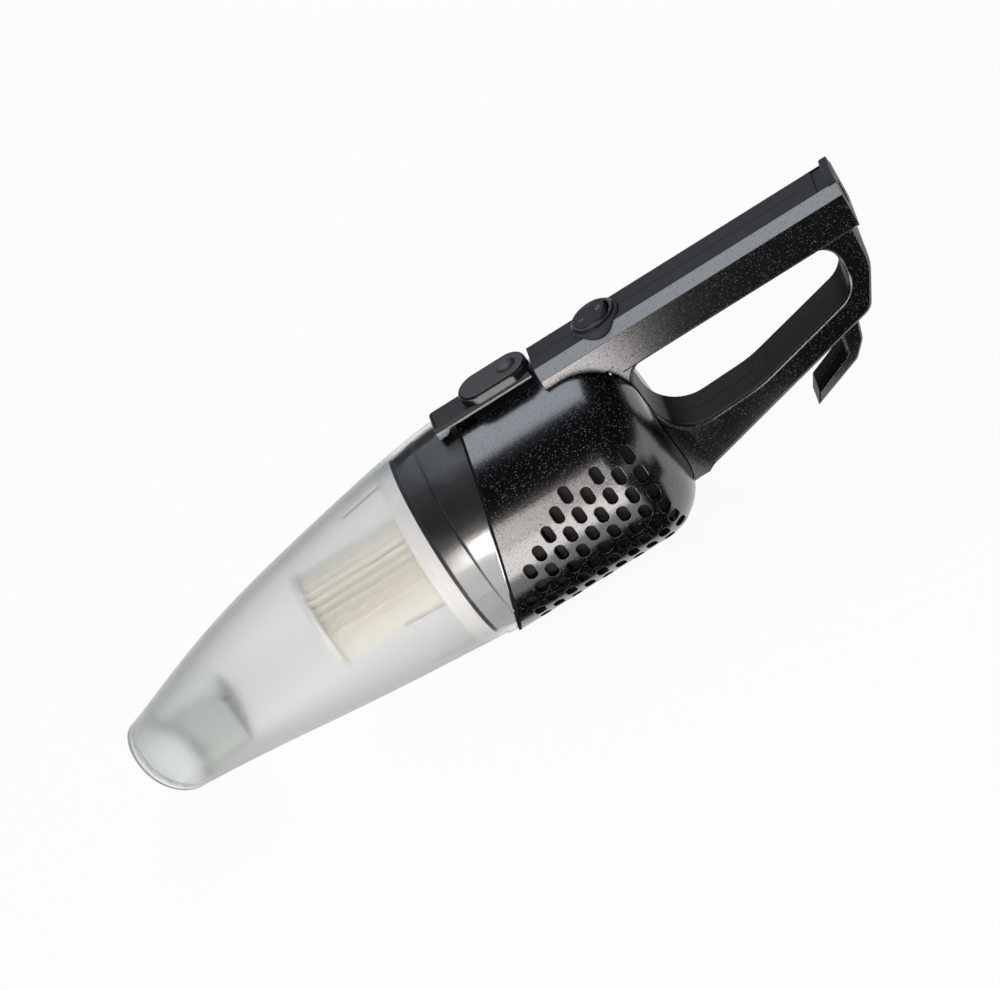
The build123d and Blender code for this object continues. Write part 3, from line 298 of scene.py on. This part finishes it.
def flake_group(name):
    """Fine metal flakes: a mask of the brightest ones, and a surface normal that leans with each flake."""
    inputs = [
        ("Density", "NodeSocketFloat", 1600.0),
        ("Tilt", "NodeSocketFloat", 0.5),
        ("Sparkle", "NodeSocketFloat", 0.05),
        ("Normal", "NodeSocketVector", (0, 0, 1)),
    ]
    outputs = [("Mask", "NodeSocketFloat"), ("Normal", "NodeSocketVector")]
    group, enter, leave = new_group(name, inputs, outputs)
    link = group.links.new
    flakes = add(group, "ShaderNodeTexVoronoi", feature="F1")
    link(place_in(group), flakes.inputs["Vector"])
    link(enter.outputs["Density"], flakes.inputs["Scale"])
    chance = add(group, "ShaderNodeSeparateColor")
    link(flakes.outputs["Color"], chance.inputs["Color"])
    bright = calc(group, "LESS_THAN", chance.outputs["Red"], enter.outputs["Sparkle"])
    link(bright, leave.inputs["Mask"])
    few_lean_far = 2.5
    lean = calc(group, "POWER", chance.outputs["Blue"], few_lean_far)
    lean = calc(group, "MULTIPLY", lean, enter.outputs["Tilt"])
    mid_grey = (0.5, 0.5, 0.5)
    way = vector_calc(group, "SUBTRACT", flakes.outputs["Color"], mid_grey)
    way = vector_calc(group, "SCALE", way, lean)
    normal = vector_calc(group, "ADD", enter.outputs["Normal"], way)
    link(vector_calc(group, "NORMALIZE", normal), leave.inputs["Normal"])
    return group


def flake_in(tree, normal):
    """The metal flakes placed in a material."""
    settings = finishes()
    density = 1 / settings.flake_size
    return placed(tree, "metal_flake", flake_group, Density=density, Tilt=settings.flake_tilt, Normal=normal)


def grain_group(name):
    """Fine moulded grain: a bump height and a slow change of gloss."""
    inputs = [
        ("Density", "NodeSocketFloat", 1500.0),
        ("Low", "NodeSocketFloat", 0.3),
        ("High", "NodeSocketFloat", 0.45),
    ]
    outputs = [("Height", "NodeSocketFloat"), ("Roughness", "NodeSocketFloat")]
    group, enter, leave = new_group(name, inputs, outputs)
    link = group.links.new
    place = place_in(group)
    fine = add(group, "ShaderNodeTexNoise")
    fine.inputs["Detail"].default_value = 3
    link(place, fine.inputs["Vector"])
    link(enter.outputs["Density"], fine.inputs["Scale"])
    link(fine.outputs["Fac"], leave.inputs["Height"])
    slow = add(group, "ShaderNodeTexNoise")
    slow.inputs["Scale"].default_value = 25
    slow.inputs["Detail"].default_value = 4
    link(place, slow.inputs["Vector"])
    span = add(group, "ShaderNodeMapRange")
    link(slow.outputs["Fac"], span.inputs["Value"])
    link(enter.outputs["Low"], span.inputs["To Min"])
    link(enter.outputs["High"], span.inputs["To Max"])
    link(span.outputs["Result"], leave.inputs["Roughness"])
    return group


def grain_in(tree, grains, low, high):
    """The moulded grain placed in a material: grains per metre, and the limits of its roughness."""
    return placed(tree, "moulded_grain", grain_group, Density=grains, Low=low, High=high)


def edge_group(name):
    """The surface normal with edges softened to the light."""
    inputs = [("Radius", "NodeSocketFloat", 0.6 * MILLIMETRE)]
    group, enter, leave = new_group(name, inputs, [("Normal", "NodeSocketVector")])
    edge = add(group, "ShaderNodeBevel", samples=4)
    group.links.new(enter.outputs["Radius"], edge.inputs["Radius"])
    group.links.new(edge.outputs["Normal"], leave.inputs["Normal"])
    return group


def soft_edge(tree):
    """The soft edge placed in a material."""
    return placed(tree, "soft_edge", edge_group, Radius=finishes().edge_round).outputs["Normal"]


def facing_group(name):
    """A mask of faces turned to one axis, either way: 0 below the low share, 1 above the high one."""
    inputs = [
        ("Axis", "NodeSocketVector", (0, 0, 1)),
        ("Low", "NodeSocketFloat", 0.3),
        ("High", "NodeSocketFloat", 0.6),
    ]
    group, enter, leave = new_group(name, inputs, [("Mask", "NodeSocketFloat")])
    turned = vector_calc(group, "DOT_PRODUCT", normal_in(group), enter.outputs["Axis"])
    turned = calc(group, "ABSOLUTE", turned)
    mask = smooth_span(group, turned, enter.outputs["Low"], enter.outputs["High"])
    group.links.new(mask, leave.inputs["Mask"])
    return group


def facing(tree, axis, low, high):
    """The facing mask placed in a material."""
    return placed(tree, "facing_mask", facing_group, Axis=axis, Low=low, High=high).outputs["Mask"]


def seam_group(name):
    """A mask of what lies further along a direction than a distance."""
    inputs = [("Direction", "NodeSocketVector", (1, 0, 0)), ("Distance", "NodeSocketFloat", 0.0)]
    group, enter, leave = new_group(name, inputs, [("Mask", "NodeSocketFloat")])
    reach = vector_calc(group, "DOT_PRODUCT", place_in(group), enter.outputs["Direction"])
    beyond = calc(group, "GREATER_THAN", reach, enter.outputs["Distance"])
    group.links.new(beyond, leave.inputs["Mask"])
    return group


def behind_seam(tree, depth):
    """A mask of what lies deeper than a depth behind the slanted front edge of the motor body."""
    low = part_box("motor_body")[0]
    slant = math.radians(SEAM_SLANT)
    direction = (math.cos(slant), 0, -math.sin(slant))
    distance = low.x * math.cos(slant) - low.z * math.sin(slant) + depth
    return placed(tree, "seam_mask", seam_group, Direction=direction, Distance=distance).outputs["Mask"]


def outward(tree, middle):
    """A mask of faces turned away from a point."""
    apart = vector_calc(tree, "SUBTRACT", place_in(tree), middle)
    turned = vector_calc(tree, "DOT_PRODUCT", apart, normal_in(tree))
    return calc(tree, "GREATER_THAN", turned, 0.0)


def crowned(tree, normal, lift):
    """The surface normal with sloped upper faces turned up, as on a softly crowned edge."""
    slope_starts = 0.5
    slope_ends = 0.7
    rise = smooth_span(tree, part_of(tree, normal_in(tree), "Z"), slope_starts, slope_ends, last=lift)
    up = add(tree, "ShaderNodeCombineXYZ")
    tree.links.new(rise, up.inputs["Z"])
    return vector_calc(tree, "ADD", normal, up.outputs["Vector"])


def along(tree, start, end, first, last):
    """A value that changes along the object's length, between two places."""
    return smooth_span(tree, part_of(tree, place_in(tree), "X"), start, end, first, last)


def bump(tree, shader, height, distance, soft_edges=True):
    """A bump of the given depth in metres, over edges softened to the light."""
    node = add(tree, "ShaderNodeBump")
    node.inputs["Distance"].default_value = distance
    tree.links.new(height, node.inputs["Height"])
    if soft_edges:
        tree.links.new(soft_edge(tree), node.inputs["Normal"])
    tree.links.new(node.outputs["Normal"], shader.inputs["Normal"])


def new_material(name, base, metallic=0.0):
    """A material with one Principled shader, its tree and shader returned too."""
    material = bpy.data.materials.new(name)
    material.use_nodes = True
    tree = material.node_tree
    shader = tree.nodes["Principled BSDF"]
    shader.inputs["Base Color"].default_value = (*base, 1)
    shader.inputs["Metallic"].default_value = metallic
    return material, tree, shader


def flake_coat(name, outside, normal, inner, inner_rough):
    """Dark metal-flake coat where the mask says, and a plain inner colour elsewhere: satin plastic on the
    handle, near-black painted shade on the motor body.
    """
    settings = finishes()
    material, tree, shader = new_material(name, settings.shell)
    flake = flake_in(tree, normal(tree))
    grain = grain_in(tree, grains=1500, low=0.18, high=0.24)
    mask = outside(tree)
    coat = mixed(tree, flake.outputs["Mask"], (*settings.shell, 1), (*settings.flake, 1))
    coat_metallic = 1.0
    flake_metallic = 0.2
    shine = mixed(tree, flake.outputs["Mask"], coat_metallic, flake_metallic, "FLOAT")
    rough = mixed(tree, mask, inner_rough, grain.outputs["Roughness"], "FLOAT")
    tree.links.new(mixed(tree, mask, (*inner, 1), coat), shader.inputs["Base Color"])
    tree.links.new(mixed(tree, mask, 0.0, shine, "FLOAT"), shader.inputs["Metallic"])
    tree.links.new(rough, shader.inputs["Roughness"])
    tree.links.new(flake.outputs["Normal"], shader.inputs["Normal"])
    shader.inputs["Specular IOR Level"].default_value = 0.15
    return material


def shell_coat():
    """The coat on the motor body, with near-black painted shade inside and a near-black painted shadow line
    along its front edge.
    """
    low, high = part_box("motor_body")
    barrel_radius = (high.y - low.y) / 2
    inside_barrel = (low.x + 30 * MILLIMETRE, 0, low.z + barrel_radius)
    # Inward faces and a band along the front edge get near-black: painted shade inside, and a painted shadow
    # of the seam gap.
    seam_shadow_width = 1.3 * MILLIMETRE

    def outside(tree):
        return calc(tree, "MULTIPLY", outward(tree, inside_barrel), behind_seam(tree, seam_shadow_width))

    return flake_coat("shell_metal_flake", outside, soft_edge, PAINTED_SHADE_BLACK, MATTE_ROUGHNESS)


def handle_coat():
    """The coat on the handle's sides, and satin plastic on the faces between them, as in the finger gap."""
    settings = finishes()

    def outside(tree):
        return facing(tree, SIDEWAYS, low=0.3, high=0.55)

    def normal(tree):
        return crowned(tree, soft_edge(tree), settings.crown)

    return flake_coat("handle_metal_flake", outside, normal, tuple(settings.satin), inner_rough=0.42)


def lever_plastic():
    """Dark plastic, satin on top, with a polished metal-like strip low on its sides."""
    settings = finishes()
    material, tree, shader = new_material("lever_plastic", settings.satin)
    strip_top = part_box("latch_lever")[1].z - 2.8 * MILLIMETRE
    below = calc(tree, "LESS_THAN", part_of(tree, place_in(tree), "Z"), strip_top)
    strip = calc(tree, "MULTIPLY", below, facing(tree, SIDEWAYS, low=0.7, high=0.9))
    grain = grain_in(tree, grains=1800, low=0.36, high=0.46)
    strip_rough = 0.16
    rough = mixed(tree, strip, grain.outputs["Roughness"], strip_rough, "FLOAT")
    base = mixed(tree, strip, (*settings.satin, 1), (*settings.flake, 1))
    tree.links.new(base, shader.inputs["Base Color"])
    tree.links.new(rough, shader.inputs["Roughness"])
    tree.links.new(strip, shader.inputs["Metallic"])
    bump(tree, shader, grain.outputs["Height"], LATCH_GRAIN)
    shader.inputs["Specular IOR Level"].default_value = 0.3
    return material


def button_plastic():
    """Dark plastic, satin on top and polished on the sides."""
    material, tree, shader = new_material("latch_plastic", finishes().satin)
    grain = grain_in(tree, grains=1800, low=0.36, high=0.46)
    side_rough = 0.12
    top = facing(tree, UPWARD, low=0.6, high=0.9)
    rough = mixed(tree, top, side_rough, grain.outputs["Roughness"], "FLOAT")
    tree.links.new(rough, shader.inputs["Roughness"])
    bump(tree, shader, grain.outputs["Height"], LATCH_GRAIN)
    shader.inputs["IOR"].default_value = 1.55
    return material


def frosted_cup():
    """Frosted clear plastic, greyer at the nose and edge-on, that clears to a polished band near the rim."""
    settings = finishes()
    material, tree, shader = new_material("cup_frosted", settings.cup)
    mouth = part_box("dust_cup")[0].x
    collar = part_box("front_collar")[0].x
    haze_ends = collar - 12 * MILLIMETRE
    band_starts = collar + 4 * MILLIMETRE
    haze = along(tree, haze_ends, band_starts, settings.cup_haze, settings.cup_clear)
    grain = grain_in(tree, grains=1200, low=0.85, high=1.15)
    rough = calc(tree, "MULTIPLY", haze, grain.outputs["Roughness"])
    tree.links.new(rough, shader.inputs["Roughness"])
    nose_ends = mouth + 30 * MILLIMETRE
    body_starts = mouth + 90 * MILLIMETRE
    nose = along(tree, nose_ends, body_starts, first=1.0, last=0.0)
    tint = mixed(tree, nose, (*settings.cup, 1), (*settings.nose, 1))
    edge_on = add(tree, "ShaderNodeLayerWeight")
    edge_on.inputs["Blend"].default_value = 0.18
    tint = mixed(tree, edge_on.outputs["Facing"], tint, (*settings.edge, 1))
    tree.links.new(tint, shader.inputs["Base Color"])
    shader.inputs["Transmission Weight"].default_value = 1.0
    shader.inputs["IOR"].default_value = 1.2
    return material


def clear_duct():
    """Grey see-through plastic of the inlet duct."""
    material, tree, shader = new_material("duct_smoke", finishes().duct)
    grain = grain_in(tree, grains=800, low=0.2, high=0.3)
    tree.links.new(grain.outputs["Roughness"], shader.inputs["Roughness"])
    shader.inputs["Transmission Weight"].default_value = 0.9
    shader.inputs["IOR"].default_value = 1.1
    return material


def collar_finish():
    """A polished dark collar. Its sleeve inside the motor body is near-black painted shade, which also
    paints a shadow line in the seam gap.
    """
    collar = tuple(finishes().collar)
    material, tree, shader = new_material("collar_polished", collar)
    # Behind the seam the collar turns near-black: painted shade on the sleeve and a painted shadow line in
    # the gap.
    sleeve = behind_seam(tree, 0.4 * MILLIMETRE)
    grain = grain_in(tree, grains=2500, low=0.18, high=0.23)
    rough = mixed(tree, sleeve, grain.outputs["Roughness"], MATTE_ROUGHNESS, "FLOAT")
    tree.links.new(mixed(tree, sleeve, (*collar, 1), (*PAINTED_SHADE_BLACK, 1)), shader.inputs["Base Color"])
    tree.links.new(mixed(tree, sleeve, 1.0, 0.0, "FLOAT"), shader.inputs["Metallic"])
    tree.links.new(rough, shader.inputs["Roughness"])
    bump(tree, shader, grain.outputs["Height"], METAL_GRAIN)
    return material


def pleated_paper():
    """Filter paper with a fibrous tone."""
    paper = finishes().paper
    material, tree, shader = new_material("filter_paper_fibre", paper)
    grain = grain_in(tree, grains=900, low=0.8, high=0.95)
    shade = 0.9
    darker = [shade * value for value in paper]
    tone = mixed(tree, grain.outputs["Height"], (*darker, 1), (*paper, 1))
    tree.links.new(tone, shader.inputs["Base Color"])
    tree.links.new(grain.outputs["Roughness"], shader.inputs["Roughness"])
    bump(tree, shader, grain.outputs["Height"], PAPER_GRAIN, soft_edges=False)
    return material


def moulded(name, base, low, high, grains=1500, depth=MOULD_GRAIN):
    """Moulded plastic with a fine grain and a slow change of gloss."""
    material, tree, shader = new_material(name, base)
    grain = grain_in(tree, grains, low, high)
    tree.links.new(grain.outputs["Roughness"], shader.inputs["Roughness"])
    bump(tree, shader, grain.outputs["Height"], depth)
    return material


def metal(name, base, low, high):
    """Plain metal with a slow change of gloss."""
    material, tree, shader = new_material(name, base, metallic=1.0)
    grain = grain_in(tree, grains=2500, low=low, high=high)
    tree.links.new(grain.outputs["Roughness"], shader.inputs["Roughness"])
    bump(tree, shader, grain.outputs["Height"], METAL_GRAIN)
    return material


def made(name, maker, **values):
    """A material by its name, made on first use."""
    return bpy.data.materials.get(name) or maker(name, **values)


def steel():
    """Bright steel of screws, pins, bearings, the shaft and the fan's shroud."""
    return made("steel_plain", metal, base=(0.56, 0.56, 0.56), low=0.25, high=0.4)


def aluminium():
    """Cast aluminium of the fan and the motor's brackets."""
    return made("aluminium_cast", metal, base=(0.62, 0.62, 0.63), low=0.3, high=0.5)


def copper():
    """Copper of the windings and the commutator."""
    return made("copper_wire", metal, base=tuple(finishes().copper), low=0.3, high=0.45)


def brass():
    """Brass of the brush holders and the switch's terminals."""
    return made("brass_sheet", metal, base=(0.72, 0.52, 0.22), low=0.25, high=0.4)


def lamination():
    """Dark sheet steel of the motor's cores."""
    return made("lamination_steel", metal, base=(0.22, 0.22, 0.23), low=0.4, high=0.6)


def carbon():
    """Carbon of the motor's brushes."""
    return made("carbon_block", moulded, base=(0.03, 0.03, 0.03), low=0.5, high=0.7)


def rubber():
    """Black rubber of the seals, the motor's mounts and the gland."""
    return made("rubber_black", moulded, base=tuple(finishes().rubber), low=0.6, high=0.8)


def silicone():
    """Pale silicone of the inlet flap."""
    return made("flap_silicone", moulded, base=tuple(finishes().flap), low=0.5, high=0.7)


def satin():
    """Satin black plastic, with little sheen, of the strip and the rocker."""
    base = tuple(finishes().satin)
    found = made("satin_black", moulded, base=base, low=0.36, high=0.46, grains=1800, depth=SATIN_GRAIN)
    shader = found.node_tree.nodes["Principled BSDF"]
    shader.inputs["Specular IOR Level"].default_value = 0.03
    return found


def gloss():
    """Gloss black plastic of the switch case."""
    base = tuple(finishes().gloss)
    return made("gloss_black", moulded, base=base, low=0.08, high=0.14, grains=900, depth=GLOSS_GRAIN)


def matte():
    """Matte near-black on the baffles behind the exhaust slots: painted shade, so that the slots read dark.
    """
    return made("matte_black", moulded, base=PAINTED_SHADE_BLACK, low=0.75, high=0.9)


def white_plastic():
    """White plastic of the filter's frame."""
    return made("white_plastic", moulded, base=tuple(finishes().white), low=0.4, high=0.5)


def ink():
    """Grey print of the rocker's marks."""
    return made("mark_ink", moulded, base=tuple(finishes().mark), low=0.5, high=0.6)


def dress(material, *names):
    """Give CAD pieces a finish."""
    for name in names:
        piece = nodes[name]
        piece.data.materials.clear()
        piece.data.materials.append(material)


def linked(name, data):
    """A new object in the scene."""
    found = bpy.data.objects.new(name, data)
    bpy.context.scene.collection.objects.link(found)
    return found


def new_piece(name, mesh_maker, material, body):
    """A new mesh piece that rides on a body."""
    mesh = bpy.data.meshes.new(name)
    form = bmesh.new()
    mesh_maker(form)
    form.to_mesh(mesh)
    form.free()
    mesh.materials.append(material)
    piece = linked(name, mesh)
    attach(piece, body)


def on_rocker(forward, across):
    """A place on the rocker's dished face: along it from its middle, and across it."""
    lean = math.radians(ROCKER_LEAN)
    height = MARK_HEIGHT + abs(forward) * math.tan(math.radians(ROCKER_DISH))
    pivot_x, pivot_y, pivot_z = joints["rocker_tilt"]["pos_m"]
    x = pivot_x + forward * math.cos(lean) - height * math.sin(lean)
    z = pivot_z + forward * math.sin(lean) + height * math.cos(lean)
    return x, pivot_y + across, z


def ring_mark(form):
    """A ring on the rear half of the rocker."""
    middle = 5 * MILLIMETRE
    steps = 32
    turns = [2 * math.pi * step / steps for step in range(steps)]
    rows = []
    for radius in (0.95 * MILLIMETRE, 1.35 * MILLIMETRE):
        places = [on_rocker(middle + radius * math.cos(turn), radius * math.sin(turn)) for turn in turns]
        rows.append([form.verts.new(place) for place in places])
    inner, outer = rows
    for step in range(steps):
        after = (step + 1) % steps
        form.faces.new((inner[step], outer[step], outer[after], inner[after]))


def bar_mark(form):
    """A bar on the front half of the rocker."""
    middle = -5 * MILLIMETRE
    half_length = 1.3 * MILLIMETRE
    half_width = 0.22 * MILLIMETRE
    corners = ((-1, -1), (1, -1), (1, 1), (-1, 1))
    places = [on_rocker(middle + a * half_length, b * half_width) for a, b in corners]
    form.faces.new([form.verts.new(place) for place in places])


class VACUUM_OT_shell(bpy.types.Operator):
    """Coat the motor body and the handle halves"""

    bl_idname = "vacuum.shell"
    bl_label = "Shell"

    def execute(self, context):
        dress(shell_coat(), "motor_body")
        dress(handle_coat(), "handle_near", "handle_far")
        dress(steel(), "handle_screws")
        dress(matte(), "exhaust_baffles")
        return {"FINISHED"}


class VACUUM_OT_top_strip(bpy.types.Operator):
    """Finish the satin strip and the cord gland"""

    bl_idname = "vacuum.top_strip"
    bl_label = "Top strip"

    def execute(self, context):
        dress(satin(), "top_strip")
        dress(rubber(), "cord_gland")
        return {"FINISHED"}


class VACUUM_OT_dust_cup(bpy.types.Operator):
    """Frost the dust cup, which casts no shadow on what is inside"""

    bl_idname = "vacuum.dust_cup"
    bl_label = "Dust cup"

    def execute(self, context):
        dress(frosted_cup(), "dust_cup")
        nodes["dust_cup"].visible_shadow = False
        return {"FINISHED"}


class VACUUM_OT_inlet(bpy.types.Operator):
    """Finish the inlet duct, its flap and pin"""

    bl_idname = "vacuum.inlet"
    bl_label = "Inlet"

    def execute(self, context):
        dress(clear_duct(), "inlet_duct")
        dress(silicone(), "inlet_flap")
        dress(steel(), "flap_pin")
        return {"FINISHED"}


class VACUUM_OT_filter(bpy.types.Operator):
    """Finish the filter's frame, paper and gasket"""

    bl_idname = "vacuum.filter"
    bl_label = "Filter"

    def execute(self, context):
        dress(white_plastic(), "filter_base", "filter_cap")
        dress(pleated_paper(), "filter_pleats")
        dress(rubber(), "filter_gasket")
        return {"FINISHED"}


class VACUUM_OT_collar(bpy.types.Operator):
    """Finish the collar and its seal"""

    bl_idname = "vacuum.collar"
    bl_label = "Collar"

    def execute(self, context):
        dress(collar_finish(), "front_collar")
        dress(rubber(), "collar_seal")
        return {"FINISHED"}


class VACUUM_OT_motor(bpy.types.Operator):
    """Finish the fan, the motor and its mounts"""

    bl_idname = "vacuum.motor"
    bl_label = "Motor and fan"

    def execute(self, context):
        dress(steel(), "fan_shroud", "impeller_nut", "front_bearing", "rear_bearing", "motor_shaft")
        dress(aluminium(), "impeller", "front_bracket", "rear_bracket")
        dress(lamination(), "stator_core", "armature")
        dress(copper(), "field_coils", "armature_windings", "commutator")
        dress(brass(), "brush_holders")
        dress(carbon(), "carbon_brushes")
        dress(rubber(), "front_mount", "rear_mount")
        return {"FINISHED"}


class VACUUM_OT_latch(bpy.types.Operator):
    """Finish the latch, its pin and spring"""

    bl_idname = "vacuum.latch"
    bl_label = "Latch"

    def execute(self, context):
        dress(lever_plastic(), "latch_lever")
        dress(button_plastic(), "release_button")
        dress(steel(), "latch_pin", "latch_spring")
        return {"FINISHED"}


class VACUUM_OT_switch(bpy.types.Operator):
    """Finish the rocker switch and print its marks"""

    bl_idname = "vacuum.switch"
    bl_label = "Rocker switch"

    def execute(self, context):
        dress(gloss(), "switch_body")
        dress(satin(), "switch_rocker")
        dress(brass(), "switch_terminals")
        new_piece("rocker_off_mark", ring_mark, ink(), "rocker")
        new_piece("rocker_on_mark", bar_mark, ink(), "rocker")
        return {"FINISHED"}


class VACUUM_OT_stage(bpy.types.Operator):
    """Set the floor, the lamps and the camera"""

    bl_idname = "vacuum.stage"
    bl_label = "Studio"

    def execute(self, context):
        make_room()
        make_floor()
        make_flags()
        make_lamps()
        make_camera()
        context.scene.view_settings.view_transform = "Standard"
        return {"FINISHED"}


def make_room():
    """A dim plain room round the stage."""
    world = bpy.data.worlds.new("room")
    bpy.context.scene.world = world
    world.use_nodes = True
    ground = world.node_tree.nodes["Background"]
    ground.inputs["Color"].default_value = (*ROOM_LIGHT, 1)
    ground.inputs["Strength"].default_value = studio().room


def matte_shader(name, base, roughness):
    """A material with no shine, its tree and shader returned too."""
    material, tree, shader = new_material(name, base)
    shader.inputs["Roughness"].default_value = roughness
    shader.inputs["Specular IOR Level"].default_value = 0.0
    return material, tree, shader


def floor_white():
    """White that mostly glows to the camera, in reflections and through the cup, and keeps a soft shadow."""
    material, tree, shader = matte_shader("floor_white", (0.9, 0.9, 0.9), 0.9)
    glow = add(tree, "ShaderNodeEmission")
    glow.inputs["Color"].default_value = (*WHITE_LIGHT, 1)
    rays = add(tree, "ShaderNodeLightPath").outputs
    seen = calc(tree, "MAXIMUM", rays["Is Camera Ray"], rays["Is Glossy Ray"])
    seen = calc(tree, "MAXIMUM", seen, rays["Is Transmission Ray"])
    glow_share = 0.94
    mix = add(tree, "ShaderNodeMixShader")
    tree.links.new(calc(tree, "MULTIPLY", seen, glow_share), mix.inputs["Fac"])
    tree.links.new(shader.outputs["BSDF"], mix.inputs[1])
    tree.links.new(glow.outputs["Emission"], mix.inputs[2])
    tree.links.new(mix.outputs["Shader"], tree.nodes["Material Output"].inputs["Surface"])
    return material


def flat_stage(name, outlines, height, material):
    """Flat stage pieces at a height, from the corners of their outlines."""
    corners = [(x, y, 0) for outline in outlines for x, y in outline]
    faces = []
    start = 0
    for outline in outlines:
        faces.append(tuple(range(start, start + len(outline))))
        start += len(outline)
    mesh = bpy.data.meshes.new(name)
    mesh.from_pydata(corners, [], faces)
    mesh.materials.append(material)
    found = linked(name, mesh)
    found.location.z = height
    return found


def make_floor():
    """A white floor just below the object."""
    half = studio().floor_size
    outline = ((-half, -half), (half, -half), (half, half), (-half, half))
    flat_stage("floor", [outline], FLOOR_HEIGHT, floor_white())


def make_flags():
    """Dark flags on the floor in front of the object, whose colour is a painted dark reflection on the shell
    and handle. They show only in reflections.
    """
    # The flags' dark colour is a painted dark reflection.
    dark_reflection = matte_shader("flag_dark_reflection", (0.045, 0.04, 0.038), 0.95)[0]
    flags = flat_stage("flag", [BARREL_FLAG, HANDLE_FLAG, OUTER_FLAG], FLAG_HEIGHT, dark_reflection)
    flags.visible_camera = False
    flags.visible_diffuse = False
    flags.visible_transmission = False
    flags.visible_shadow = False


def make_lamp(name, watts, size, place, tint):
    """A rectangular lamp that the camera doesn't see, pointing down."""
    data = bpy.data.lights.new(name, "AREA")
    data.energy = watts
    data.shape = "RECTANGLE"
    data.size, data.size_y = size
    data.color = tint
    lamp = linked(name, data)
    lamp.location = place
    lamp.visible_camera = False
    return lamp


def point(lamp, aim):
    """Turn a lamp towards an aim."""
    lamp.rotation_euler = (Vector(aim) - lamp.location).to_track_quat("-Z", "Y").to_euler()


def make_lamps():
    """A broad lamp above, a low one in front, a panel on the floor, and soft fill from nose and front."""
    settings = studio()
    back = make_lamp(
        "back_lamp", settings.back_power, size=(1.2, 1.85), place=(0.08, 0.63, 1.42), tint=COOL_LIGHT
    )
    nose = make_lamp(
        "nose_lamp", settings.nose_power, size=(0.9, 0.9), place=(-1.3, -0.25, 0.55), tint=SOFT_LIGHT
    )
    front = make_lamp(
        "front_lamp", settings.front_power, size=(0.3, 0.4), place=(-0.235, -1.05, 0.2), tint=WARM_LIGHT
    )
    panel = make_lamp(
        "floor_lamp",
        settings.floor_power,
        size=(0.4, 0.5),
        place=(-0.177, -0.332, PANEL_HEIGHT),
        tint=WARM_LIGHT,
    )
    fill = make_lamp(
        "fill_lamp", settings.fill_power, size=(1.2, 1.0), place=(-0.2, -1.4, 0.9), tint=WHITE_LIGHT
    )
    point(back, (back.location.x, 0, AIM_HEIGHT))
    point(front, (front.location.x, 0, front.location.z))
    panel.rotation_euler = (math.pi, 0, math.radians(-13))
    panel.visible_diffuse = False
    for lamp in (nose, fill):
        point(lamp, (0, 0, AIM_HEIGHT))
        lamp.visible_glossy = False
    for lamp in (back, nose, panel, fill):
        lamp.visible_transmission = False


def make_camera():
    """The camera at the picture's angle, rolled so that the object lies across the frame."""
    settings = studio()
    turn, lift, roll = settings.azimuth, settings.elevation, settings.roll
    toward = Vector((math.sin(turn) * math.cos(lift), -math.cos(turn) * math.cos(lift), math.sin(lift)))
    right = Vector((math.cos(turn), math.sin(turn), 0))
    up = toward.cross(right)
    image_right = right * math.cos(roll) - up * math.sin(roll)
    image_up = right * math.sin(roll) + up * math.cos(roll)
    aim = Vector((settings.aim_x, 0, settings.aim_z))
    data = bpy.data.cameras.new("camera")
    data.lens = data.sensor_width * settings.distance / settings.view_width
    data.clip_end = 2 * settings.floor_size
    camera = linked("camera", data)
    turned = Matrix((image_right, image_up, toward)).transposed().to_4x4()
    turned.translation = aim + toward * settings.distance
    camera.matrix_world = turned
    bpy.context.scene.camera = camera


OPERATORS = (
    VACUUM_OT_shell,
    VACUUM_OT_top_strip,
    VACUUM_OT_dust_cup,
    VACUUM_OT_inlet,
    VACUUM_OT_filter,
    VACUUM_OT_collar,
    VACUUM_OT_motor,
    VACUUM_OT_latch,
    VACUUM_OT_switch,
    VACUUM_OT_stage,
)


class VACUUM_PT_panel(bpy.types.Panel):
    """Lists the finishing steps and their settings"""

    bl_idname = "VACUUM_PT_panel"
    bl_label = "Hand Vacuum"
    bl_space_type = "VIEW_3D"
    bl_region_type = "UI"
    bl_category = "Hand Vacuum"

    def draw(self, context):
        layout = self.layout
        for step in OPERATORS:
            layout.operator(step.bl_idname)
        for group in (context.scene.vacuum_finish, context.scene.vacuum_studio):
            for name in group.bl_rna.properties.keys():
                if name not in ("rna_type", "name"):
                    layout.prop(group, name)


CLASSES = (FinishSettings, StudioSettings, *OPERATORS, VACUUM_PT_panel)


def register():
    """Register the classes and their settings."""
    for kind in CLASSES:
        bpy.utils.register_class(kind)
    bpy.types.Scene.vacuum_finish = PointerProperty(type=FinishSettings)
    bpy.types.Scene.vacuum_studio = PointerProperty(type=StudioSettings)


def unregister():
    """Take the settings and the classes away."""
    del bpy.types.Scene.vacuum_studio
    del bpy.types.Scene.vacuum_finish
    for kind in reversed(CLASSES):
        bpy.utils.unregister_class(kind)


def main():
    """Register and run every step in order."""
    register()
    for step in OPERATORS:
        space, name = step.bl_idname.split(".")
        getattr(getattr(bpy.ops, space), name)()


if __name__ == "__main__":
    main()
